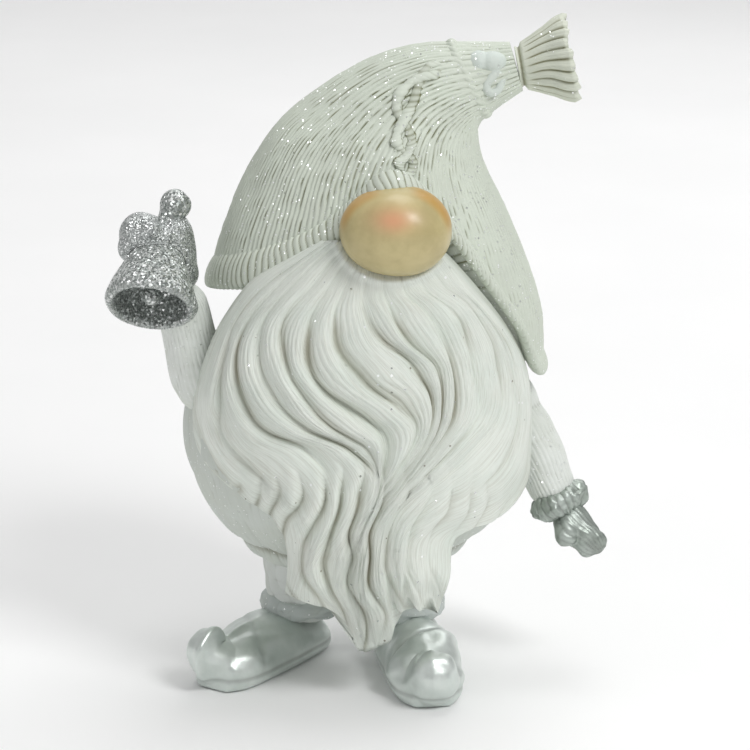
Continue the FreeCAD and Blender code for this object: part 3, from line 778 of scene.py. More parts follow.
def hat_core(s):
    """Points on the hat's bent axis at places s along its rings."""
    return catmull([(x, y, z) for x, z, _, _, y, _ in HAT_RINGS], s)


def knit_start(degrees):
    """The place along the hat's rings where the knit rises out of the brim."""
    heights = [ring[1] for ring in HAT_RINGS]
    return np.interp(brim_height(degrees) + 1.0, heights, np.arange(len(heights)))


def knit_lean(degrees, share):
    """How far the knit leans forward over the nose, at a share of its way up from the brim."""
    return over_nose(degrees) * smooth_step(LEAN_SHARE, 0.0, share)[..., None]


def make_hat():
    """The knit: ribs that halve in number twice as the hat narrows, up to its bent tip."""
    t = np.linspace(-np.pi, np.pi, HAT_COLS, endpoint=False)
    first = knit_start(np.degrees(t))
    share = np.linspace(0, 1, HAT_ROWS)[:, None]
    s = first + (len(HAT_RINGS) - 1 - first) * share
    tt = np.broadcast_to(t, s.shape)
    p = hat_point(tt, s)
    p = p + knit_lean(np.degrees(tt), share)
    sway = 0.30 * noise2(tt * 2.2, s * 1.4, 21) + 0.16 * noise2(tt * 9, s * 3, 22)
    turns = (tt + np.pi) / (2 * np.pi)
    rib = 0.0
    for count, low, high in ((1.0, -9, 4.6), (0.5, 4.6, 6.4), (0.25, 6.4, 99)):
        here = smooth_step(low - 0.4, low + 0.4, s) * smooth_step(high + 0.4, high - 0.4, s)
        rib = rib + here * ridges(turns * HAT_RIBS * count + sway * count, 0.75)
    stitch = 0.5 + 0.5 * noise2(turns * HAT_RIBS * 0.9, s * 7, 23)
    fade = 1 - 0.45 * smooth_step(0.3, 1.2, tt) - 0.35 * smooth_step(5.0, 7.0, s)
    out = unit(p - hat_core(s))
    rise = RIB_RISE * fade * rib * (0.75 + 0.4 * stitch) + 0.7 * lumps(p, 15, 24)
    # Painted shade in the grooves between the ribs, less where the ribs are lower.
    dark = np.clip((1 - rib) ** 1.1 * fade * (0.30 + 0.9 * smooth_step(0.3, 0.8, stitch)), 0, 1)
    return tube_piece("hat_skin", p + out * rise[..., None], {"groove_shade": dark})


def make_brim():
    """The rolled band with slanting strokes, thicker and lower where it arches over the nose."""
    degrees = np.linspace(-180, 180, BRIM_COLS, endpoint=False)
    t = np.radians(degrees)
    ring = brim_point(degrees)
    out = unit(np.stack([np.sin(t) * BRIM_HALF[1], -np.cos(t) * BRIM_HALF[0], 0 * t], -1))
    up = unit(np.array([0, 0, 1.0]) - 0.35 * out)
    right = smooth_step(10, 60, degrees)
    at_nose = hump(degrees, NOSE_ANGLE, 24)
    height = 4.9 - 1.9 * right - 1.4 * at_nose
    thick = 2.1 - 0.2 * right + 1.3 * at_nose
    a = circle(BRIM_ROWS)
    centre = ring + np.array([0, 0, 1.0]) * (height * 0.6)[:, None] + over_nose(degrees)
    length = np.r_[0, np.cumsum(np.linalg.norm(np.diff(ring, axis=0), axis=1))]
    slant = length[:, None] / 2.1 + 0.55 * np.sin(a)[None, :]
    slant = slant + 0.35 * noise2(length[:, None] / 6, np.sin(a)[None, :], 31)
    strokes = ridges(slant, 0.7)
    size = 1 + (strokes - 0.5) * 0.20 * (1 - 0.25 * right - 0.35 * at_nose)[:, None]
    p = (centre[:, None] + out[:, None] * (thick[:, None] * np.cos(a) * size)[..., None]
         + up[:, None] * (height[:, None] * np.sin(a) * size)[..., None])
    # Painted shade in the grooves between the slanting strokes, weaker towards the right where they are
    # shallower.
    dark = (1 - strokes) ** 1.3 * (1 - 0.45 * right)[:, None]
    return closed_ring("brim_roll", p, dark)


# ---- hat trimmings ----------------------------------------------------------------------

# The braid's line over the knit, as (degrees from the front, place along the hat's rings).
BRAID_LINE = [(13, 4.1), (13, 4.3), (11, 4.52), (6, 4.75), (-1, 5.05), (-13, 5.45), (-27, 5.95),
              (-35, 6.45)]
BRAID_TURNS = 1.75
BRAID_STRANDS = 2
BRAID_SWING = 2.0
BRAID_STRAND_R = 1.5
BRAID_LIFT = 0.6
BRAID_PROUD = 0.3
TIE_AT = np.array([30.0, 2.0, 162.9])
TIE_TILT = math.radians(62.0)
TIE_RADIUS = 10.3
TIE_STRAND_R = 1.05
TIE_STRANDS = 2
TIE_TURNS = 14
# The path of the bow's loop and its radius at each point.
BOW_LOOP = [(40.2, -2.6, 167.2), (38.2, -4.6, 166.4), (35.6, -6.3, 164.6), (34.3, -7.0, 162.4),
            (35.4, -7.1, 160.9), (37.2, -6.6, 161.2), (38.3, -5.8, 163.0), (39.3, -4.4, 165.2),
            (40.6, -2.8, 166.6)]
BOW_LOOP_R = [0.7, 1.0, 1.2, 1.15, 1.1, 1.1, 1.0, 0.9, 0.7]
TASSEL_NECK = np.array([42.9, 2.0, 166.0])
TASSEL_END = np.array([57.0, 2.0, 168.6])
# The tassel's skirt, as (share of its length, radius), and the rings that hollow its end, as
# (share of the end's radius, depth).
TASSEL_RINGS = [(0.0, 5.4), (0.12, 6.4), (0.55, 8.8), (0.9, 11.0), (1.0, 10.6)]
TASSEL_END_RINGS = [(0.93, 0.2), (0.8, 1.0), (0.55, 1.6), (0.25, 1.9)]
TASSEL_PLEATS = 22


def make_braid():
    """A low cable of two strands that cross and part as it runs up the front of the knit."""
    rings = 260
    line = catmull(BRAID_LINE, np.linspace(0, len(BRAID_LINE) - 1, rings))
    degrees, s = line[:, 0], line[:, 1]
    start = knit_start(degrees)
    share = (s - start) / (len(HAT_RINGS) - 1 - start)
    middle = hat_point(np.radians(degrees), s) + knit_lean(degrees, share)
    out = unit(middle - hat_core(s))
    side = unit(np.cross(unit(np.gradient(middle, axis=0)), out))
    turn = 2 * np.pi * BRAID_TURNS * np.linspace(0, 1, rings)
    around = circle(24)
    from_end = np.minimum(np.linspace(0, 1, rings), np.linspace(1, 0, rings))
    ends = np.sqrt(np.clip(from_end * 14, 0.02, 1))
    made = []
    for k in range(BRAID_STRANDS):
        a = turn + np.pi * k
        lift = BRAID_LIFT * np.cos(a + 0.6) + BRAID_PROUD
        own = middle + side * (BRAID_SWING * np.sin(a) * ends)[:, None] + out * lift[:, None]
        swell = BRAID_STRAND_R * ends * (1 + 0.22 * noise2(turn * 1.7, 0 * turn, 33 + k))
        strand = ridges(turn[:, None] * 2.2 + around[None] / np.pi, 0.8)
        r = swell[:, None] * (0.94 + 0.09 * strand)
        p = own[:, None] + r[..., None] * spokes(side, out, around)
        # Painted shade on each strand's underside, where it dips under the other, and in its twist
        # grooves.
        low = smooth_step(0.75, -0.2, np.sin(around))[None, :]
        under = smooth_step(0.7, -0.1, lift)[:, None] * 0.4
        groove_shade = np.clip(low + under + 0.35 * (1 - strand), 0, 1)
        made.append(tube_piece("braid%d" % k, p, {"groove_shade": groove_shade}))
    return join("braid_strands", made)


def make_tie():
    """Cords twisted about each other in a ring round the hat's tip."""
    t = circle(240)
    axis = np.array([math.sin(TIE_TILT), 0, math.cos(TIE_TILT)])
    out = spokes(np.array([math.cos(TIE_TILT), 0, -math.sin(TIE_TILT)]), np.array([0, 1, 0]), t)
    made = []
    for k in range(TIE_STRANDS):
        turn = TIE_TURNS * t + np.pi * k
        centre = (TIE_AT + out * (TIE_RADIUS + 0.3 * np.cos(turn))[:, None]
                  + axis * (0.6 * np.sin(turn))[:, None])
        p = centre[:, None] + TIE_STRAND_R * spokes(out, axis, circle(20))
        made.append(closed_ring("tie%d" % k, p, np.zeros(p.shape[:2])))
    return join("tie_strands", made)


def make_bow():
    """A plump pale knot on the hat's top and a small loop that hangs from the tassel's neck."""
    knot = [ball_rings((32.4, -3.2, 168.3), (3.4, 4.0, 3.2)),
            ball_rings((36.0, -3.6, 168.4), (3.9, 3.6, 2.9))]
    loop = round_tube(BOW_LOOP, BOW_LOOP_R, 120, 24)
    piece = roughen(melt("bow_loop", [*knot, loop], 0.35, 4), 3.0, 0.25, 51)
    _, y, z = points_of(piece).T
    # Painted shade on the knot's back and lower side.
    set_value(piece, "groove_shade", 0.8 * smooth_step(-4.6, -2.2, y) * smooth_step(168.0, 165.0, z))
    return piece


def make_tassel():
    """A pleated skirt that widens from its neck to a ragged, slightly hollow end."""
    axis = unit(TASSEL_END - TASSEL_NECK)
    a_dir = unit(np.cross(axis, (0, 1.0, 0)))
    length = np.linalg.norm(TASSEL_END - TASSEL_NECK)
    share = np.linspace(0, 1, 110)[:, None]
    t = circle(528)[None, :]
    table = np.array(TASSEL_RINGS)
    radius = catmull(table[:, 1:], np.interp(share[:, 0], table[:, 0], np.arange(len(table))))
    sway = 0.35 * noise2(t * 1.6, share * 2.0, 41)
    pleat = ridges(TASSEL_PLEATS * t / (2 * np.pi) + sway, 0.8)
    fine = ridges(3 * TASSEL_PLEATS * t / (2 * np.pi) + sway * 3, 0.8)
    ragged = 0.9 * noise2(t * 3.4, 0 * t, 42) + 0.5 * (pleat[-1:] - 0.5)
    seam = hump(share, 0.07, 0.035)
    r = radius + share * (1.35 * (pleat - 0.6) + 0.3 * fine) - 0.8 * seam
    along = length * share + ragged * smooth_step(0.75, 1.0, share)
    p = (TASSEL_NECK + axis * along[..., None] + a_dir * (r * np.cos(t))[..., None]
         + np.array([0, 1.0, 0]) * (r * np.sin(t))[..., None])
    # Painted shade in the pleat valleys and in the seam at the neck.
    groove_shade = (1 - pleat) ** 1.3 * smooth_step(0.04, 0.3, share) * (1 - smooth_step(0.9, 1, share))
    groove_shade = np.clip(groove_shade + seam * 0.7, 0, 1)
    end = p[-1]
    centre = end.mean(0)
    rings = [p]
    shade = [groove_shade]
    # The hollow end gets painted shade too, in the pleat valleys.
    for shrink, sink in TASSEL_END_RINGS:
        ring = centre + (end - centre) * shrink - axis * sink
        ring = ring - axis * (0.7 * (1 - pleat[-1]) * shrink)[:, None]
        rings.append(ring[None])
        shade.append((1 - pleat[-1:]) * 0.8)
    return tube_piece("tassel_skin", np.concatenate(rings), {"groove_shade": np.concatenate(shade)})


# ---- nose and coat ----------------------------------------------------------------------

def make_nose():
    """The bulb, with a blush above its middle and painted shade in a darker gold along its rim under
    the brim.
    """
    p = ball_rings(NOSE_AT, NOSE_HALF, 120, 180)
    x = (p[..., 0] - NOSE_AT[0]) / NOSE_HALF[0]
    z = (p[..., 2] - NOSE_AT[2]) / NOSE_HALF[2]
    out = unit((p - NOSE_AT) / NOSE_HALF ** 2)
    p = p + out * (0.5 * lumps(p, 9, 51))[..., None]
    blush = 0.75 * hump(x, -0.05, 0.33) * hump(z, 0.42, 0.24)
    # Painted shade: a darker gold along the upper rim, where the nose tucks under the brim.
    rim = smooth_step(0.84, 0.97, np.hypot(x, z))
    edge = rim * smooth_step(-0.1, 0.4, z) * smooth_step(0.15, 0.5, np.abs(x))
    return tube_piece("nose_skin", p, {"blush": blush, "edge": 0.8 * edge})


BODY_CENTRE = np.array([0, 0, 68.0])
BODY_HALF = np.array([47.0, 40.0, 42.0])
COAT_FOLDS = 17
COAT_RIBS = 92


def make_coat():
    """The coat: a full egg with slow folds that run down it, and a rolled hem."""
    p = ball_rings(BODY_CENTRE, BODY_HALF, 150, 640)
    out = unit((p - BODY_CENTRE) / BODY_HALF ** 2)
    around = np.arctan2(p[..., 0], -p[..., 1])
    down = (p[..., 2] - BODY_CENTRE[2]) / BODY_HALF[2]
    sway = 0.5 * noise2(around * 1.5, down * 1.8, 61)
    fold = ridges(around * COAT_FOLDS / (2 * np.pi) + sway + 0.2 * down, 0.9)
    lower = smooth_step(0.55, -0.5, down)
    hem = hump(down, -0.80, 0.045)
    under = hump(down, -0.72, 0.03)
    cloth = ridges(around * COAT_RIBS / (2 * np.pi) + 0.8 * noise2(around * 4, down * 5, 63), 0.8)
    rise = ((0.25 + lower) * 0.55 * (fold - 0.6) + 0.16 * cloth
            + 0.9 * hem - 0.8 * under + 0.8 * lumps(p, 13, 62))
    rise = rise * smooth_step(-0.98, -0.90, down) - 0.6
    # Painted shade in the folds, between the knit ribs and in the crease under the hem.
    groove_shade = np.clip((1 - fold) ** 2 * 0.25 + 0.35 * (1 - cloth) ** 2 + under * 0.8, 0, 1)
    return tube_piece("coat_skin", p + out * rise[..., None], {"groove_shade": groove_shade})


# ---- arms, hands and bell ---------------------------------------------------------------

# Each arm's line from shoulder to wrist, and its radius at each point.
RIGHT_ARM = np.array([(-27, 4, 92), (-39.5, -7, 82), (-46.5, -15, 111)], float)
RIGHT_RADII = (8.5, 8.0, 5.8)
LEFT_ARM = np.array([(31, 2, 88), (44.5, -2, 70), (53.2, -5, 52)], float)
LEFT_RADII = (8.5, 7.2, 6.2)
# How far each sleeve goes past its wrist, in wrist radii. The left one goes on into its cuff.
RIGHT_PAST_WRIST = 0.0
LEFT_PAST_WRIST = 0.8
SLEEVE_RINGS = 190
SLEEVE_AROUND = 200
SLEEVE_RIBS = 34
SHOULDER_AIM = np.array([0, 0, 18.0])
SHOULDER_DEPTH = 13.0
LEFT_PALM = np.array([58.5, -7.0, 43.0])
LEFT_TIP = np.array([64.0, -9.0, 37.6])
CUFF_RIBS = 21
MITTEN_RIBS = 22
BELL_AXIS = unit(np.array([-0.10, -0.70, -0.71]))
BELL_CROWN = np.array([-51.0, -19.0, 121.5])
BELL_LENGTH = 17.0
# The bell's section, as (radius, distance from the crown).
BELL_OUTSIDE = [(0.3, 0.0), (4.6, 0.15), (6.0, 0.9), (7.1, 2.4), (8.1, 4.6), (9.3, 7.6),
                (10.7, 11.0), (11.8, 13.6), (12.2, 15.2)]
BELL_LIP = [(12.0, 16.5), (11.2, 17.3), (10.3, 17.3), (9.7, 16.6)]
BELL_INSIDE = [(9.4, 15.0), (9.0, 13.0), (8.1, 10.0), (6.4, 7.4), (3.5, 6.5), (0.3, 6.3)]
BELL_RINGS = 190
BELL_CLEAR = 0.25
HANDLE_KNOB = np.array([-46.7, -15.0, 132.6])


def make_sleeve(name, path, radii, past_wrist, seed):
    """A knitted sleeve with soft wrinkles across its bend. It starts inside the body."""
    first = path[0] + unit(BODY_CENTRE + SHOULDER_AIM - path[0]) * SHOULDER_DEPTH
    last = path[-1] + unit(path[-1] - path[-2]) * radii[-1] * past_wrist
    path = np.vstack([first, path[:-1], last])
    p = round_tube(path, (radii[0], *radii), SLEEVE_RINGS, SLEEVE_AROUND)
    middle = p.mean(1, keepdims=True)
    along = np.linspace(0, 1, SLEEVE_RINGS)[:, None]
    around = np.linspace(0, 1, SLEEVE_AROUND, endpoint=False)[None, :]
    wrinkle = ridges(along * 8 + 0.7 * noise2(around * 5, along * 4, seed), 1.2)
    bend = 0.35 + 0.65 * hump(along, 0.5, 0.22)
    rib = ridges(around * SLEEVE_RIBS + 0.4 * noise2(around * 6, along * 5, seed + 1), 0.7)
    rise = 0.45 * bend * (wrinkle - 0.5) + 0.25 * rib + 0.6 * lumps(p, 8, seed + 2)
    # Painted shade in the wrinkles across the bend and between the knit ribs.
    groove_shade = np.clip(0.5 * (1 - wrinkle) ** 3 * bend + 0.45 * (1 - rib) ** 1.4, 0, 1)
    return tube_piece(name, p + unit(p - middle) * rise[..., None], {"groove_shade": groove_shade})


def capsule_skin(a, r_a, b, r_b):
    """A straight round-ended bar that ends a little past its two points."""
    a, b = np.asarray(a, float), np.asarray(b, float)
    ahead = unit(b - a)
    ends = (a - ahead * r_a * 0.9, (a + b) / 2, b + ahead * r_b * 0.9)
    return round_tube(ends, (r_a, (r_a + r_b) / 2, r_b), 40, 32)


def make_right_mitten():
    """A mitten closed round the handle: palm, curled fingers and a thumb over them."""
    skins = [
        capsule_skin((-46.2, -15.0, 114.0), 5.5, (-47.5, -16.0, 126.0), 5.4),
        ball_rings((-55.0, -17.0, 125.0), (6.6, 6.0, 6.2)),
        ball_rings((-58.0, -19.0, 122.5), (3.9, 4.0, 4.2)),
        capsule_skin((-52.5, -20.5, 127.2), 3.0, (-57.6, -20.0, 124.6), 2.8),
        capsule_skin((-49.0, -19.5, 125.5), 2.9, (-52.6, -21.0, 122.6), 2.5),
    ]
    return clear_of_bell(roughen(melt("right_mitten_skin", skins, 0.45, 10), 4.0, 0.35, 71))


def clear_of_bell(piece):
    """Moves the points of a neighbour that would lie inside the bell out to its skin."""
    p = points_of(piece)
    away = p - BELL_CROWN
    along = away @ BELL_AXIS
    square = away - along[:, None] * BELL_AXIS
    reach = np.linalg.norm(square, axis=1)
    table = np.array(BELL_OUTSIDE + BELL_LIP[:2])
    skin = np.interp(along, table[:, 1], table[:, 0]) + BELL_CLEAR
    caught = (along > 0) & (along < table[-1, 1] + BELL_CLEAR) & (reach < skin)
    moved = BELL_CROWN + along[:, None] * BELL_AXIS + unit(square) * skin[:, None]
    set_points(piece, np.where(caught[:, None], moved, p))
    return piece


def make_bell():
    """The bell's skin, out over the lip and back up inside to its dome."""
    profile = np.array(BELL_OUTSIDE + BELL_LIP + BELL_INSIDE)
    ring = catmull(profile, np.linspace(0, len(profile) - 1, BELL_RINGS))
    t = circle(240)
    out = spokes(*square_to(BELL_AXIS), t)
    dents = 0.35 * noise2(t[None, :] * 1.5, ring[:, 1:] / 5, 72)
    radius = np.maximum(ring[:, :1] + dents, 0.05)
    p = BELL_CROWN + BELL_AXIS * ring[:, 1:, None] + out[None] * radius[..., None]
    # Painted shade over the inside of the mouth.
    within = np.arange(BELL_RINGS)[:, None] > BELL_RINGS * (len(BELL_OUTSIDE) + 2) / len(profile)
    groove_shade = np.where(within, 0.25, 0.0) * np.ones_like(radius)
    return tube_piece("bell_skin", p, {"groove_shade": groove_shade})


def make_handle():
    """The stem through the mitten, and the round knob above it."""
    skins = [capsule_skin(BELL_CROWN + (0.6, 0.6, 1.5), 3.1, HANDLE_KNOB, 3.6),
             ball_rings(HANDLE_KNOB, (4.1, 4.1, 4.3))]
    return roughen(melt("handle_skin", skins, 0.4, 8), 3.5, 0.3, 73)


def make_clapper():
    """A ball on a short stem, cast fast under the bell's crown."""
    ball_at = BELL_CROWN + BELL_AXIS * (BELL_LENGTH - 3.4)
    stem_from = BELL_CROWN + BELL_AXIS * 6.0
    skins = [ball_rings(ball_at, (2.6, 2.5, 2.6)), capsule_skin(stem_from, 1.0, ball_at, 1.1)]
    return roughen(melt("clapper_skin", skins, 0.3, 5), 2.0, 0.2, 74)


def make_left_cuff():
    """A ribbed roll round the wrist, set square to the hand."""
    axis = unit(LEFT_PALM - LEFT_ARM[-1])
    centre = LEFT_ARM[-1] + axis * 4.2
    t = circle(336)
    a = circle(48)
    rib = ridges(CUFF_RIBS * t / (2 * np.pi) + 0.3 * noise2(t * 2, 0 * t, 75), 0.7)[:, None]
    r = 3.5 + 0.34 * (rib - 0.4) + 0.95 * noise2(t[:, None] * 2.2, a * 1.2, 76)
    r = r + 0.30 * noise2(t[:, None] * 9, a * 3, 80)
    p = hoop_rings(centre, spokes(*square_to(axis), t), axis, 4.3, r, 0.98, a)
    # Painted shade between the cuff's ribs.
    return closed_ring("left_cuff_skin", p, 0.6 * (1 - rib) ** 1.6 * np.ones_like(r))


def make_left_mitten():
    """A ribbed mitten with its thumb, both pointing down and out."""
    skins = [
        capsule_skin(LEFT_PALM, 5.0, LEFT_TIP, 4.1),
        capsule_skin(LEFT_PALM + (-2, -2, 0.5), 3.3, (57.0, -12.0, 40.0), 2.7),
    ]
    piece = melt("left_mitten_skin", skins, 0.42, 7)
    p = points_of(piece)
    side, up = square_to(unit(LEFT_TIP - LEFT_PALM))
    away = p - LEFT_PALM
    angle = np.arctan2(away @ up, away @ side)
    rib = ridges(angle * MITTEN_RIBS / (2 * np.pi) + 0.9 * lumps(p, 5, 77), 0.8)
    rise = 0.32 * (rib - 0.5) + 0.75 * lumps(p, 4, 78) + 0.35 * lumps(p, 1.8, 79)
    set_points(piece, p + normals_of(piece) * rise[:, None])
    # Painted shade between the ribs and in the dents.
    set_value(piece, "groove_shade", np.clip(0.5 * (1 - rib) ** 1.6 - 0.5 * lumps(p, 4, 78), 0, 1))
    return piece


# ---- legs and shoes ---------------------------------------------------------------------

# Each leg, as (side, middle of the leg, heel, the shoe's heading in degrees and stretch, where
# its toe curls to, depth and slant of its fold, seed).
LEGS = (
    ("right", (-14.8, 9.0), (-12.5, 16.5), -34.0, 1.0, (-3.0, 1.5, 17.0), 0.25, 0.6, 81),
    ("left", (13.0, 7.0), (13.0, 14.5), 9.0, 1.08, (1.0, 2.5, 14.0), 1.3, -0.55, 91),
)
# The shoe's section, as (distance from the heel, half width, height).
SHOE_RINGS = [
    (-2.0, 3.0, 6.0), (0.0, 6.5, 9.0), (4.0, 8.9, 12.0), (10.0, 9.8, 13.6), (18.0, 10.2, 14.6),
    (27.0, 10.2, 14.8), (36.0, 9.8, 13.0), (42.0, 8.6, 11.0), (46.5, 5.2, 8.0),
]
SHOE_LENGTH = 46.5
TROUSER_CREASES = 9
ROLL_PINCHES = 12


def make_trouser(name, xy, seed):
    """A trouser leg with soft folds across it and faint creases down it."""
    heights = np.linspace(11.5, 42, 90)[:, None]
    t = circle(180)[None, :]
    width = np.interp(heights, (11.5, 21, 30, 42), (9.3, 9.9, 10.8, 12.4))
    fold = ridges(heights / 6.5 + 0.8 * noise2(t * 1.2, heights / 9, seed), 1.4)
    crease = ridges(t * TROUSER_CREASES / (2 * np.pi) + 0.6 * noise2(t, heights / 8, seed + 1), 1.0)
    r = width + 0.35 * (fold - 0.5) * smooth_step(34, 18, heights) + 0.5 * (crease - 0.5)
    p = np.stack([xy[0] + r * np.cos(t), xy[1] + r * np.sin(t), heights + 0 * t], -1)
    # Painted shade in the folds and creases.
    groove_shade = np.clip(0.25 * (1 - fold) ** 3 + 0.3 * (1 - crease) ** 3, 0, 1)
    return tube_piece(name, p, {"groove_shade": groove_shade})


def make_trouser_roll(name, xy, seed):
    """The pinched roll at the foot of a trouser leg."""
    t = circle(260)
    a = circle(44)
    out = np.stack([np.cos(t), np.sin(t), 0 * t], -1)
    wander = 0.7 * noise2(t[:, None] * 2, a, seed)
    pinch = ridges(t[:, None] * ROLL_PINCHES / (2 * np.pi) + wander, 1.0)
    r = 2.5 + 0.22 * (pinch - 0.5) + 0.55 * noise2(t[:, None] * 2, a * 1.3, seed + 1)
    p = hoop_rings((*xy, 14.7), out, np.array([0, 0, 1.0]), 9.3, r, 1.05, a)
    # Painted shade between the pinches.
    return closed_ring(name, p, 0.35 * (1 - pinch) ** 2)


def make_shoe(name, heel, heading, stretch, curl, fold, lean, seed):
    """A sculpted slipper: puffy vamp, dents at the ankle, and a toe that curls up and back."""
    t = circle(64)
    places = np.linspace(0, len(SHOE_RINGS) - 1, 110)
    along, half, height = catmull(SHOE_RINGS, places).T[:, :, None]
    middle = height * 0.36
    z = middle + (height - middle) * np.sin(t)
    welt = 0.35 * hump(z, 2.2, 1.5)
    body = np.stack([(half + welt) * np.cos(t), -along * stretch + 0 * t, np.maximum(z, 0.25)], -1)
    toe = SHOE_LENGTH * stretch
    rise = np.array([(0, -toe + 9.0, 6.0), (curl[0] * 0.3, -toe + 2.5, 7.2),
                     (curl[0] * 0.8, -toe - 0.4, 11.5), (curl[0], -toe + curl[1] + 1.0, curl[2])])
    skins = [body, round_tube(rise, [6.6, 5.6 + fold, 3.9 + 1.3 * fold, 2.6 + 0.9 * fold], 60, 40),
             ball_rings((0, -toe + 4.0, 5.2), (7.6, 5.2, 5.0))]
    piece = melt(name, skins, 0.5, 9)
    p = points_of(piece)
    n = normals_of(piece)
    x, y, z = p.T
    lengthwise = -y / toe
    top = smooth_step(2.0, 7.0, z)
    seam = hump(z, 3.6, 0.6)
    ridge = hump(x + 1.6 * (lengthwise - 0.6), 0, 1.0) * smooth_step(0.5, 0.8, lengthwise)
    slant = x * lean + (y + toe * 0.62) * 0.8
    crease = hump(slant, 0, 1.0) * smooth_step(0.3, 0.4, lengthwise)
    crease = crease * smooth_step(0.95, 0.75, lengthwise)
    ankle = hump(y + toe * 0.27, 0, 4.5) * ridges(np.arctan2(x, 4) * 2.4, 1.5)
    flap = smooth_step(1.1, -1.1, slant) * smooth_step(-22.0, -2.0, slant)
    small = 0.45 * lumps(p, 3.2, seed + 1) + 0.8 * fold * flap
    keel = max(0.2, 2.0 - 1.4 * fold) * ridge
    folds = top * (1.3 * lumps(p, 6.5, seed) + small + keel - fold * crease - 1.2 * ankle)
    move = folds - 0.25 * seam
    moved = p + n * (move * smooth_step(0.3, 1.5, z))[:, None]
    moved[:, 2] = np.maximum(moved[:, 2], 0.0)
    turn = math.radians(heading)
    c, s = math.cos(turn), math.sin(turn)
    place = np.array([[c, -s, 0], [s, c, 0], [0, 0, 1]])
    set_points(piece, moved @ place.T + (*heel, 0))
    # Painted shade in the welt seam, the fold's crease and the ankle dents.
    groove_shade = 0.4 * seam + 0.5 * fold * top * crease + 0.35 * top * ankle
    set_value(piece, "groove_shade", np.clip(groove_shade, 0, 1))
    return piece


# ---- putting it together ----------------------------------------------------------------

# The knitted finishes, as (name, paint, colour of the painted shade in the grooves, share of bright
# flakes).
KNITS = [
    ("hat", (209, 216, 203), (104, 105, 66), 0.2), ("trim", (208, 217, 211), (104, 110, 92), 0.14),
    ("tassel", (214, 218, 203), (128, 126, 90), 0.05), ("coat", (204, 210, 203), (150, 152, 138), 0.10),
    ("sleeve", (226, 230, 225), (158, 160, 148), 0.14),
    ("roll", (196, 203, 200), (120, 124, 112), 0.12),
    ("trouser", (222, 226, 222), (150, 150, 138), 0.03),
]


def finish_materials():
    knits = {name: knit_material(name + "_paint", rgb(*paint), rgb(*shade_colour), share)
             for name, paint, shade_colour, share in KNITS}
    return {
        **knits,
        "beard": beard_material(),
        "nose": nose_material(),
        "mitten": glitter_material("mitten_glitter", rgb(150, 154, 153), rgb(222, 226, 224), 0.34, 1.0),
        "bell": glitter_material("bell_glitter", rgb(146, 152, 149), rgb(232, 236, 233), 0.52, 1.5),
        "cuff": silver_material("cuff_silver", 0.42, rgb(158, 167, 159), rgb(190, 198, 192)),
        "shoe": silver_material("shoe_silver", 0.37, rgb(208, 216, 211), rgb(226, 232, 228)),
        "resin": plain_material("bare_resin", rgb(205, 202, 190), rgb(190, 186, 172), 0.6),
        "steel": plain_material("steel_wire", rgb(150, 152, 155), rgb(128, 130, 134), 0.35, 1.0),
    }


def build_gnome():
    m = finish_materials()
    for piece, finish, node, slot in (
        (make_coat(), "coat", "torso_shell", "coat"),
        (make_beard(), "beard", "beard", "beard"),
        (make_hat(), "hat", "hat_shell", "hat_knit"),
        (make_brim(), "hat", "hat_brim", "hat_knit"),
        (make_braid(), "hat", "hat_braid", "hat_trim"),
        (make_tie(), "hat", "hat_tie", "hat_trim"),
        (make_bow(), "trim", "hat_bow", "hat_trim"),
        (make_tassel(), "tassel", "hat_tassel", "tassel"),
        (make_nose(), "nose", "nose", "nose"),
        (clear_of_bell(make_sleeve("right_sleeve_skin", RIGHT_ARM, RIGHT_RADII, RIGHT_PAST_WRIST, 101)),
         "sleeve", "right_sleeve", "sleeve"),
        (make_sleeve("left_sleeve_skin", LEFT_ARM, LEFT_RADII, LEFT_PAST_WRIST, 111),
         "sleeve", "left_sleeve", "sleeve"),
        (make_right_mitten(), "mitten", "right_mitten", "glitter_silver"),
        (make_bell(), "bell", "bell_cup", "glitter_silver"),
        (make_handle(), "bell", "bell_handle", "glitter_silver"),
        (make_clapper(), "bell", "bell_clapper", "glitter_silver"),
        (make_left_cuff(), "cuff", "left_cuff", "silver_knit"),
        (make_left_mitten(), "cuff", "left_mitten", "silver_knit"),
    ):
        dress(piece, m[finish], node)
    for side, leg_xy, heel, heading, stretch, curl, fold, lean, seed in LEGS:
        trouser = make_trouser(side + "_leg_skin", leg_xy, seed)
        dress(trouser, m["trouser"], side + "_leg")
        roll = make_trouser_roll(side + "_leg_roll", leg_xy, seed + 2)
        dress(roll, m["roll"], side + "_leg_cuff")
        shoe = make_shoe(side + "_shoe_skin", heel, heading, stretch, curl, fold, lean, seed + 4)
        dress(shoe, m["shoe"], side + "_shoe")
    for node, key in (("pour_hole_plug", "resin"), ("leg_wires", "steel"), ("arm_wires", "steel")):
        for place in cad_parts[node].material_slots:
            place.material = m[key]


# ---- stage, light and camera ------------------------------------------------------------

FLOOR_HALF = 2.6
FLOOR_BACK = 1.1
BEND_R = 0.7
WALL_TOP = 2.4
VIEW_WIDTH_PER_BODY = 1.513
AIM = (0.0286, 0.465)
CAMERA_DISTANCE = 0.90
SENSOR = 36.0
ROOM_LIGHT = 0.40
# The lights that look at the object, as (name, place in metres, width and height, watts).
LIGHTS = [
    ("key", (0.60, -0.70, 0.95), (0.38, 0.38), 6.4), ("fill", (-0.85, -0.75, 0.45), (0.8, 0.8), 0.7),
    ("top", (0.1, 0.15, 1.15), (0.6, 0.6), 3.2), ("behind", (0.3, 0.75, 0.7), (0.7, 0.5), 1.5),
]
FLOOR_WASH_AT = (0.0, 1.05, 0.75)
FLOOR_WASH_AIM = (0.0, 1.0, 0.0)
FLOOR_WASH_SIZE = (1.6, 0.7)
FLOOR_WASH_WATTS = 1.6


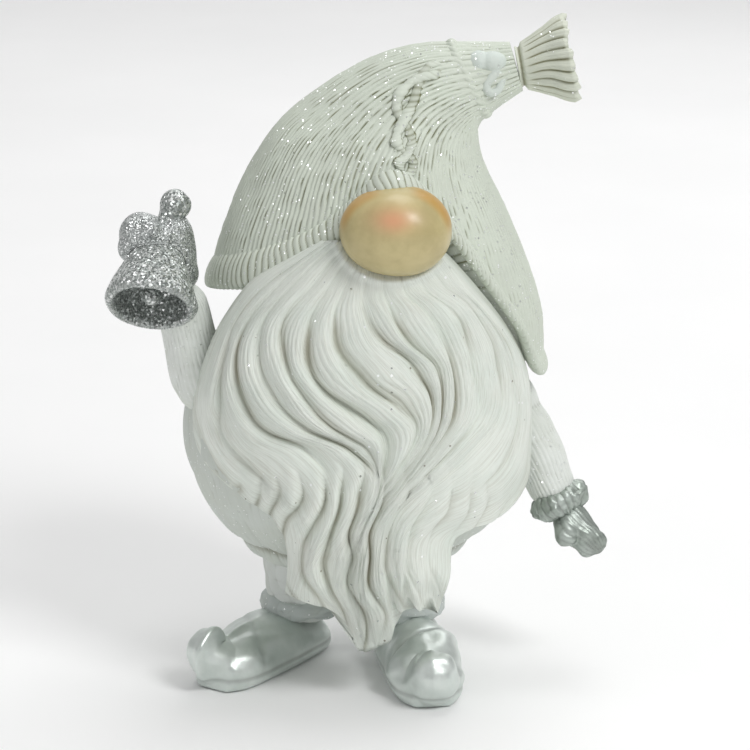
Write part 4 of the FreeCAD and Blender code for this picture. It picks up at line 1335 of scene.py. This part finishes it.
def make_stage():
    """A pale floor that bends up into a pale back wall."""
    a = np.linspace(0, np.pi / 2, 24)
    y = np.r_[-FLOOR_HALF, FLOOR_BACK + BEND_R * np.sin(a), FLOOR_BACK + BEND_R]
    z = np.r_[0, BEND_R * (1 - np.cos(a)), WALL_TOP]
    x = np.linspace(-FLOOR_HALF, FLOOR_HALF, 9)
    p = np.stack(np.broadcast_arrays(x, y[:, None], z[:, None]), -1).reshape(-1, 3)
    floor = make_piece("floor", p / MM - SHIFT, quads(len(y), len(x)))
    s = Shader("floor_paper", roughness=0.9, specular=0.1)
    cloud = s.between(s.noise(6.0), 0.3, 0.7)
    s.set("Base Color", s.mix(cloud, rgb(250, 250, 250), rgb(253, 253, 253)))
    floor.data.materials.append(s.material)


def add_light(name, at, target, size, watts):
    lamp = bpy.data.lights.new(name, "AREA")
    lamp.shape = "RECTANGLE"
    lamp.size, lamp.size_y = size
    lamp.energy = watts
    holder = bpy.data.objects.new(name, lamp)
    holder.location = at
    holder.rotation_euler = (Vector(target) - Vector(at)).to_track_quat("-Z", "Y").to_euler()
    bpy.context.scene.collection.objects.link(holder)


def light_and_camera():
    low, high = Vector(cad_box[0]), Vector(cad_box[1])
    body = high - low
    aim = Vector(((low.x + high.x) / 2 + AIM[0] * body.x, (low.y + high.y) / 2,
                  low.z + AIM[1] * body.z))
    world = bpy.data.worlds.new("soft_room")
    world.use_nodes = True
    background = world.node_tree.nodes["Background"]
    background.inputs["Color"].default_value = (1, 1, 1, 1)
    background.inputs["Strength"].default_value = ROOM_LIGHT
    bpy.context.scene.world = world
    for name, at, size, watts in LIGHTS:
        add_light(name, at, aim, size, watts)
    add_light("floor_wash", FLOOR_WASH_AT, FLOOR_WASH_AIM, FLOOR_WASH_SIZE, FLOOR_WASH_WATTS)
    camera = bpy.data.cameras.new("camera")
    camera.sensor_width = SENSOR
    camera.lens = SENSOR * CAMERA_DISTANCE / (VIEW_WIDTH_PER_BODY * body.x)
    holder = bpy.data.objects.new("camera", camera)
    away = Vector((0, -math.cos(ELEVATION), math.sin(ELEVATION)))
    holder.location = aim + away * CAMERA_DISTANCE
    holder.rotation_euler = (-away).to_track_quat("-Z", "Y").to_euler()
    bpy.context.scene.collection.objects.link(holder)
    bpy.context.scene.camera = holder
    bpy.context.scene.view_settings.view_transform = "Standard"


build_gnome()
make_stage()
light_and_camera()
